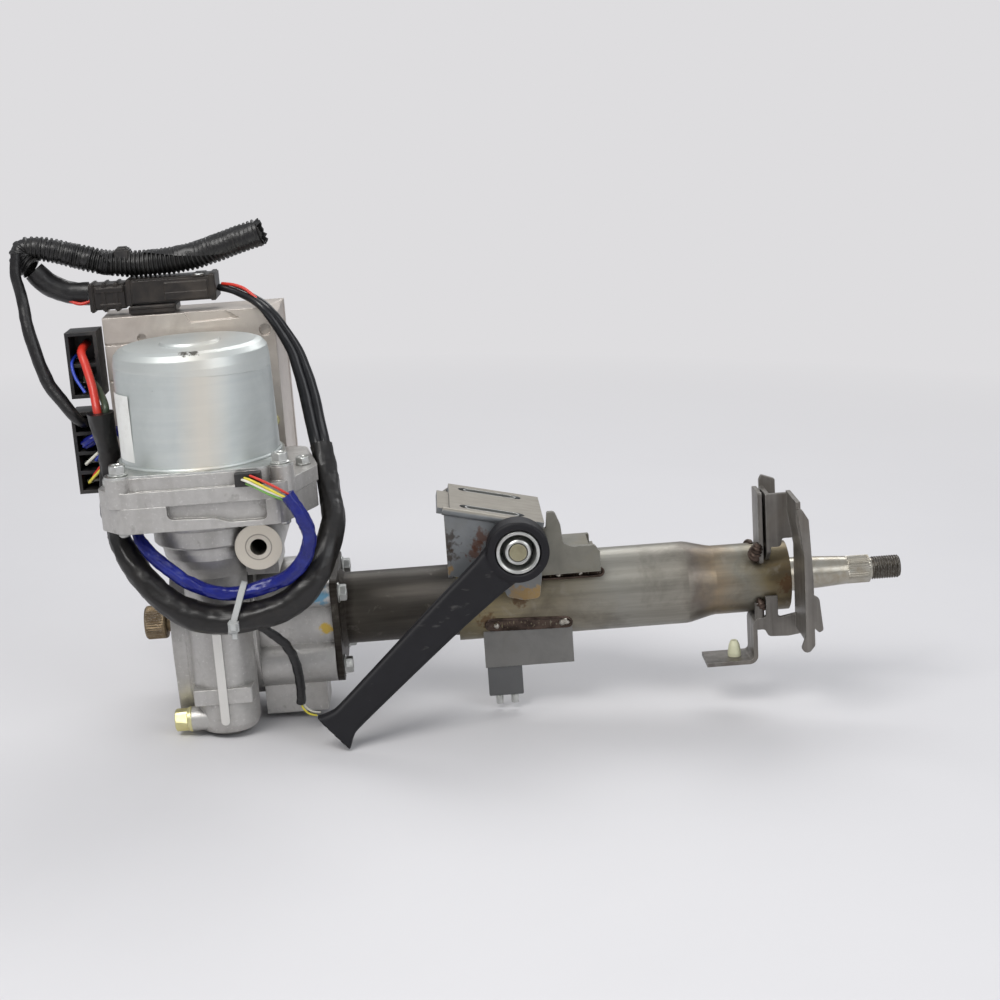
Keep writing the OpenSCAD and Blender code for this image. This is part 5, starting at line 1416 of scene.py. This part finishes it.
# %% Tape and sleeves
def tape_radius(pitch, step, wrinkle, seed):
    def radius(r, angle, distance):
        lap = (distance / pitch + angle / TURN) % 1
        return r - 0.3 + step * (lap - 0.5) + wrinkle * skin_noise(distance * 0.22, 1.6, angle, seed)
    return radius


def sleeve_radius(crease, seed):
    def radius(r, angle, distance):
        slow = skin_noise(distance * 0.035, 0.9, angle, seed)
        fold = 1 - 2 * abs(skin_noise(distance * 0.05, 1.9, angle, seed))
        kink = abs(skin_noise(distance * 0.16, 1.4, angle, seed))
        return r * (1 + crease * slow) - 0.2 + crease * (4.5 * (fold - 0.75) - 7 * max(0, kink - 0.18))
    return radius


def run(name, cords, finish, node=None, sharp=70):
    """A piece of one or more cords, each given as cord takes them."""
    mesh = bmesh.new()
    for facts in cords:
        cord(mesh, *facts)
    return place_piece(name, mesh, finish, node, sharp=sharp)


def beside(route, shift, size):
    """A thinner cord that runs a share of the radius to one side of a route."""
    return [(x + shift * r, y, z, size * r) for x, y, z, r in route]


SLEEVES = [
    ("taped_bundle", "taped_leads", "tape", "black_sleeve", (TAPED_ROUTE, 1.0, 20, sleeve_radius(0.1, 3))),
    ("side_wire_run", "side_lead", "tape", "black_sleeve", (SIDE_ROUTE, 1.0, 20, sleeve_radius(0.06, 5))),
    ("right_wire_run", "right_leads", "cable", "black_sleeve",
     (beside(RIGHT_ROUTE, -0.36, 0.66), 0.8, 24, sleeve_radius(0.03, 7.64)),
     (beside(RIGHT_ROUTE, 0.44, 0.56), 0.8, 24, sleeve_radius(0.03, 8.44))),
    ("main_vinyl_sleeve", "main_sleeve", "sleeve", "black_sleeve",
     (MAIN_ROUTE, 0.8, 32, sleeve_radius(0.12, 2))),
    ("blue_vinyl_sleeve", "blue_sleeve", "blue", "blue_sleeve",
     (BLUE_ROUTE, 0.7, 24, sleeve_radius(0.16, 6))),
    ("sensor_wire_run", "sensor_lead", "tape", "black_sleeve",
     (SENSOR_ROUTE, 0.6, 18, tape_radius(8, 0.25, 0.25, 4))),
    ("red_power_wire", "power_leads", "red", "red_cable", (RED_ROUTE, 1.0, 18)),
    ("green_ground_wire", "ground_lead", "green", "green_cable", (GREEN_ROUTE, 1.0, 16)),
]
for name, node, finish, slot, *cords in SLEEVES:
    run(name, cords, finish, node)
print("sleeves and leads:", len(SLEEVES))

# %% [markdown]
# ## Tape round the conduit
#
# The left third of the conduit is wrapped in tape. Further right only one slanting strip holds the
# slit closed, and one narrow turn marks the end of the wrapping. A strip is a ribbon that follows
# the cord and turns round it. The conduit's clip is two small blocks.


# %% Conduit tape
def winding_strip(mesh, route, start, stop, turns, width, lift, phase):
    """A ribbon round a cord between two distances, as a thin closed band."""
    rings = []
    for centre, radius, distance, across, over in stations(route, 1.0):
        if not start <= distance <= stop:
            continue
        turn = phase + TURN * turns * (distance - start) / (stop - start)
        ring = []
        for side, count in [(lift, range(9)), (lift - 0.35, range(8, -1, -1))]:
            for k in count:
                angle = turn + width * (k / 8 - 0.5)
                ripple = 0.5 * noise.noise(Vector((distance * 0.22, angle * 1.6, 9)))
                r = radius + side + ripple
                ring.append(centre + r * (math.cos(angle) * across + math.sin(angle) * over))
        rings.append(ring)
    loft(mesh, rings)


LOOM_WRAP = [(x, y, z, r + 0.35) for x, y, z, r in LOOM_ROUTE[1:5]] + [(-60, 21, 214.2, 6.85)]
wrap = bmesh.new()
cord(wrap, LOOM_WRAP, 0.8, 28, tape_radius(10, 0.8, 0.8, 11))
winding_strip(wrap, LOOM_ROUTE, 84, 160, 0.42, 2.3, 0.55, 1.5)
winding_strip(wrap, LOOM_ROUTE, 58, 66, 0.1, 5.9, 0.45, 0.0)
loom_tape = place_piece("loom_tape", wrap, "tape", sharp=60)
loom_clip = block_piece("loom_clip", [
    ((-46.2, 15.2, 211.5), (-37.4, 26.2, 219.4), 0.9), ((-44.8, 17.4, 218.6), (-38.8, 24, 220.4), 0.6),
], "black")

print("on the loom:", loom_tape.name, loom_clip.name)

# %% [markdown]
# ## Thin wires
#
# Four thin wires leave the motor's sensor plug and go into the blue sleeve: white, yellow, red and
# green. Short tails show in the connectors on the left and at the lever's foot, too. Each is a plain
# cord of 1.2 to 2 mm, and a little spread between them keeps them from looking like one ribbon.

# %% Thin wires
WIRES = [
    ("sensor_wire_white", "white_wire", 0.7,
     [(27, -97.4, 104.6), (31, -100.6, 103.6), (41, -100.8, 97.8), (49.6, -99.6, 93.4)]),
    ("sensor_wire_yellow", "yellow_wire", 0.7,
     [(28.4, -97.4, 105.4), (33, -100.8, 104.2), (43, -101, 98.0), (51, -99.4, 92.6)]),
    ("sensor_wire_red", "red", 0.7,
     [(31.4, -97.4, 106.4), (36, -100.6, 105), (44, -100.6, 100.4), (51.6, -98.6, 94.6)]),
    ("sensor_wire_green", "lime_wire", 0.7,
     [(29, -97.4, 102.4), (34, -100.2, 100.6), (42, -100, 95.6), (49.4, -98, 91.6)]),
    ("sensor_tail_yellow", "yellow_wire", 0.6,
     [(42, -51.6, -37.6), (43, -52, -42), (46, -51, -46), (50, -48, -48.6)]),
    ("sensor_tail_white", "white_wire", 0.6,
     [(42.8, -50.4, -37.6), (44.4, -50.6, -42), (48, -49.4, -45.4), (52, -46, -47.6)]),
    ("top_wire_red", "red", 0.9, [(14, 13.6, 196), (21.2, 9, 195.3), (27.7, 5, 193), (34.5, 0, 187.6)]),
    ("bundle_wire_red", "red", 1.0,
     [(-62.2, 13.4, 191.2), (-66, 12.4, 190.2), (-70, 12.6, 190.6), (-75, 14, 193)]),
    ("plug_wire_blue_a", "blue_wire", 0.9,
     [(-72, 13.6, 162), (-73, 2, 161), (-73.4, -5, 158), (-71.4, -9, 151), (-66, -14, 143)]),
    ("plug_wire_blue_b", "blue_wire", 0.9,
     [(-66, 13.6, 101), (-66, 0, 101), (-65.5, -9, 103), (-60, -14, 109)]),
    ("plug_wire_white", "white_wire", 0.9,
     [(-72, 13.6, 99.4), (-72.4, 0, 99.2), (-71, -8, 101), (-63, -13, 107.6)]),
    ("plug_wire_red", "red", 0.8, [(-69, 13.6, 91), (-69, 0, 91), (-68, -8.4, 93.4), (-59.4, -12.6, 103)]),
    ("plug_wire_yellow", "yellow_wire", 0.8,
     [(-71.4, 13.6, 88.4), (-71.6, 0, 88.4), (-70.4, -8.8, 90.4), (-60, -13.8, 100)]),
]
for name, finish, radius, points in WIRES:
    slot = "red_cable" if finish == "red" else "nylon"
    run(name, [([(*point, radius) for point in points], 1.0, 10)], finish)
print("thin wires:", len(WIRES))

# %% [markdown]
# ## Connectors
#
# The inline connector on top of the controller is two nylon mouldings: a ribbed plug on the left and
# a long socket on the right, with a latch window, a stepped rim and a lug underneath. Blocks with
# rounded edges stand for the walls, ribs and lugs, each where the CAD solid is. A dab of paint marks
# the socket.


# %% Inline connector
PLUG_BLOCKS = [
    ((-60, 9.2, 186), (-40.4, 26.8, 200.6), 1.2),
    *[((x, 8.3, 184.8), (x + 2.8, 27.6, 201.4), 0.7) for x in (-61.8, -54.6, -47.6)],
    ((-58, 8.1, 195.8), (-42, 9.8, 198.8), 0.4),
    ((-56, 8.1, 188), (-44, 9.8, 189.6), 0.4),
]
SOCKET_BLOCKS = [
    ((-40, 7, 188.2), (9.4, 28.4, 202.2), 1.0),
    ((7.2, 6.1, 187.6), (11, 29, 203), 0.7),
    ((-40, 6.1, 187.6), (-36.8, 28.8, 202.8), 0.7),
    ((-18.4, 6.2, 189.4), (6.4, 7.6, 199.6), 0.4),
    ((-18.4, 6.05, 189.4), (6.4, 6.9, 194), 0.3),
    ((-2, 6.3, 201.6), (5, 26, 203), 0.5),
    ((-39.6, 5.3, 182.6), (-12.4, 24.8, 187.4), 0.7),
    ((-39, 4.95, 185.2), (-13, 6, 187.2), 0.35),
]
block_piece("inline_plug", PLUG_BLOCKS, "plug", "loom_plug")
block_piece("inline_socket", SOCKET_BLOCKS, "plug", "loom_socket")

dot = bmesh.new()
turned(dot, [(2.3, -0.2), (2.2, 0.15), (1.5, 0.3), (0.05, 0.32)], (1.8, 8.7, 202.9), UPRIGHT, 24,
       lambda r, angle, h: r * (1 + 0.25 * math.sin(3 * angle) + 0.15 * math.sin(5 * angle + 1)))
place_piece("paint_dot", dot, "sticker")
print("blocks of the inline connector:", len(PLUG_BLOCKS) + len(SOCKET_BLOCKS))

# %% [markdown]
# ## Terminals
#
# The two open connectors on the left keep their CAD shells. Looking into them, one sees small white
# and red locking combs with tinned terminals in rows. Short rounded blocks in rows are enough at
# this size.

# %% Terminals
TERMINALS = [
    ((x, 9.5, z), (x + 1.2, 13.9, z + 1.2), 0.2, 1)
    for z in (141.6, 144.6, 158.6, 161.4) for x in (-73.4, -71.2, -62.8)
] + [
    ((x, 9.5, z), (x + 1.0, 13.9, z + 1.4), 0.2, 1)
    for z in (84.8, 96.4, 107.6, 119) for x in (-75.4, -73.4, -66.8)
]
LOCKS = [((-75.6, 7, z), (-65.4, 13.8, z + 1.6), 0.3, 1) for z in (86.4, 97.8, 120.8)]
SEALS = [((x, 8, z), (x + 2.2, 13.8, z + 2.2), 0.5) for z, x in [(90, -66.8), (101.6, -68.2), (155, -71)]]
block_piece("terminals", TERMINALS, "zinc")
block_piece("terminal_locks", LOCKS, "white_wire")
block_piece("terminal_seals", SEALS, "red")
print("terminals:", len(TERMINALS))

# %% [markdown]
# ## Cable tie
#
# One tie holds both sleeves. Its strap is a flat band round the hull of two circles, one for each
# sleeve, in a plane that leans a little. Its head is a small block low on the front, with the cut tail
# coming out of it.

# %% Cable tie
TIE_LOW = Vector((13.4, -78, 23))
TIE_HIGH = Vector((18.4, -77, 37.4))
LOW_RADIUS = 8.9
HIGH_RADIUS = 4.7
TIE_WIDTH = 3.6
TIE_THICKNESS = 1.1
TIE_HEAD = [
    ((10.4, -90.6, 17.6), (16.2, -86.2, 24.6), 0.8), ((11.4, -91.1, 19), (15.2, -90, 23.4), 0.4),
    ((11.8, -89.4, 13.8), (15, -88.2, 18.2), 0.3),
]


def tie_strap(mesh):
    apart = (TIE_HIGH - TIE_LOW).length
    upward = (TIE_HIGH - TIE_LOW).normalized()
    sideways = upward.cross(Vector((1, 0, 0))).normalized()
    half = upward.cross(sideways) * TIE_WIDTH / 2
    touch = math.acos((LOW_RADIUS - HIGH_RADIUS) / apart)
    arcs = [(TIE_HIGH, HIGH_RADIUS, -touch, touch), (TIE_LOW, LOW_RADIUS, touch, TURN - touch)]
    rings = []
    for centre, r, start, stop in arcs:
        for k in range(25):
            angle = start + (stop - start) * k / 24
            way = upward * math.cos(angle) + sideways * math.sin(angle)
            near, far = centre + way * r, centre + way * (r + TIE_THICKNESS)
            rings.append([near - half, near + half, far + half * 0.9, far - half * 0.9])
    loft(mesh, rings + rings[:1], closed=False)


tie = bmesh.new()
tie_strap(tie)
for box in TIE_HEAD:
    block(tie, *box)
tie = place_piece("tie_and_head", tie, "tie", "cable_tie")
print("faces of the tie:", len(tie.data.polygons))

# %% [markdown]
# ## Sticker and rim of the can
#
# A paper sticker is wrapped round the left of the can. It is bare here. It is a curved sheet a tenth
# of a millimetre thick that follows the can's own radius. Where the can meets the adapter it ends in
# a rolled bead, which is a thin ring just proud of the CAD can.


# %% Sticker and rim
STICKER_RADIUS = 43.6
STICKER_THICKNESS = 0.12
STICKER_ANGLES = (196, 223)
STICKER_HEIGHTS = (113, 149.5)
CAN_RIM = [(43.7, 109.2), (44.9, 109.2), (45.1, 109.7), (44.8, 110.4), (43.7, 110.8)]

low, high = STICKER_HEIGHTS
outer = STICKER_RADIUS + STICKER_THICKNESS
first_angle, last_angle = STICKER_ANGLES
rings = []
for k in range(25):
    angle = math.radians(first_angle + (last_angle - first_angle) * k / 24)
    corners = [(STICKER_RADIUS, low), (outer, low), (outer, high), (STICKER_RADIUS, high)]
    rings.append([(r * math.cos(angle), WORM_Y + r * math.sin(angle), z) for r, z in corners])
label = bmesh.new()
loft(label, rings)
place_piece("bare_sticker", label, "sticker", sharp=30)

rim = bmesh.new()
hoop(rim, CAN_RIM, (0, WORM_Y, 0), UPRIGHT, 128)
place_piece("can_rim", rim, "can")
print("sticker in mm:", round(math.radians(last_angle - first_angle) * STICKER_RADIUS, 1), "by", high - low)

# %% [markdown]
# ## Floor, light and background
#
# The part lies on a plain pale floor under soft studio light: a large soft lamp from above and the
# left, a weaker one from the right, and an even surround. The background's pale grey is a colour seen
# by the camera alone, so it adds no light to the part. Far from the part the floor fades into that same
# colour, and near it the floor is a plain lit surface that keeps the shadow.

# %% Floor
PALE = (222, 221, 223)
LIT_RADIUS = 0.5
PALE_RADIUS = 1.3
FLOOR_SIZE = 4.0


def floor_finish():
    finish = Finish("floor", (214, 213, 215), 0.6)
    finish.stain(3.0, 0.3, 0.8, (208, 207, 209), 0.6)
    material = finish.done(edge=0)
    away = finish.vector("DISTANCE", finish.place(), (0.13, 0, floor_height), "Value")
    far = finish.span(away, LIT_RADIUS, PALE_RADIUS)
    seen = finish.times(far, finish.add("LightPath").outputs["Is Camera Ray"])
    even = finish.add("Emission", {"Color": light(PALE)}).outputs[0]
    blend = finish.add("MixShader", {0: seen, 1: finish.shader.outputs[0], 2: even}).outputs[0]
    finish.tree.links.new(blend, finish.tree.nodes["Material Output"].inputs["Surface"])
    return material


floor_mesh = bpy.data.meshes.new("floor")
corners = [(x * FLOOR_SIZE, y * FLOOR_SIZE, floor_height) for x, y in [(-1, -1), (1, -1), (1, 1), (-1, 1)]]
floor_mesh.from_pydata(corners, [], [(0, 1, 2, 3)])
floor_mesh.materials.append(floor_finish())
floor = bpy.data.objects.new("floor", floor_mesh)
scene.collection.objects.link(floor)
floor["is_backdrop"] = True
print("floor height in metres:", round(floor_height, 4))

# %% Lamps and surround
MIDDLE = Vector((0.13, 0, 0))
LAMPS = [
    ("key", (-0.55, -0.9, 1.25), (0.9, 0.7), 16, (1.0, 0.985, 0.96)),
    ("fill", (1.1, -1.1, 0.7), (0.9, 0.9), 6, (0.96, 0.98, 1.0)),
    ("back", (0.4, 1.0, 1.0), (1.2, 0.5), 7, (1.0, 1.0, 1.0)),
]
for name, place, size, watts, colour in LAMPS:
    data = bpy.data.lights.new(name, "AREA")
    data.shape = "RECTANGLE"
    data.size, data.size_y = size
    data.energy = watts
    data.color = colour
    lamp = bpy.data.objects.new(name, data)
    lamp.location = place
    lamp.rotation_euler = (MIDDLE - Vector(place)).to_track_quat("-Z", "Y").to_euler()
    scene.collection.objects.link(lamp)

world = bpy.data.worlds.new("studio")
scene.world = world
world.use_nodes = True
sky = Net(world.node_tree)
surround = world.node_tree.nodes["Background"]
height = sky.axis(sky.add("TexCoord").outputs["Generated"], "Z")
dim = sky.mix(sky.span(height, -0.5, 0.8), (92, 90, 88), (196, 198, 202))
seen = sky.add("LightPath").outputs["Is Camera Ray"]
world.node_tree.links.new(sky.mix(seen, dim, PALE), surround.inputs["Color"])
surround.inputs["Strength"].default_value = 1.0
print("lamps:", len(LAMPS))

# %% [markdown]
# ## Sizes
#
# The dressed box less the CAD's box is printed, in millimetres, low corner first and high corner
# after. The dressed part has to stay in the CAD's box.

# %% Write the sizes and finish
visual_box = [list(corner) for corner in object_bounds()]
grown = [round((v - c) * 1000, 1) for v, c in zip(visual_box[0] + visual_box[1], cad_box[0] + cad_box[1])]
print("visual box less CAD box in mm:", grown)
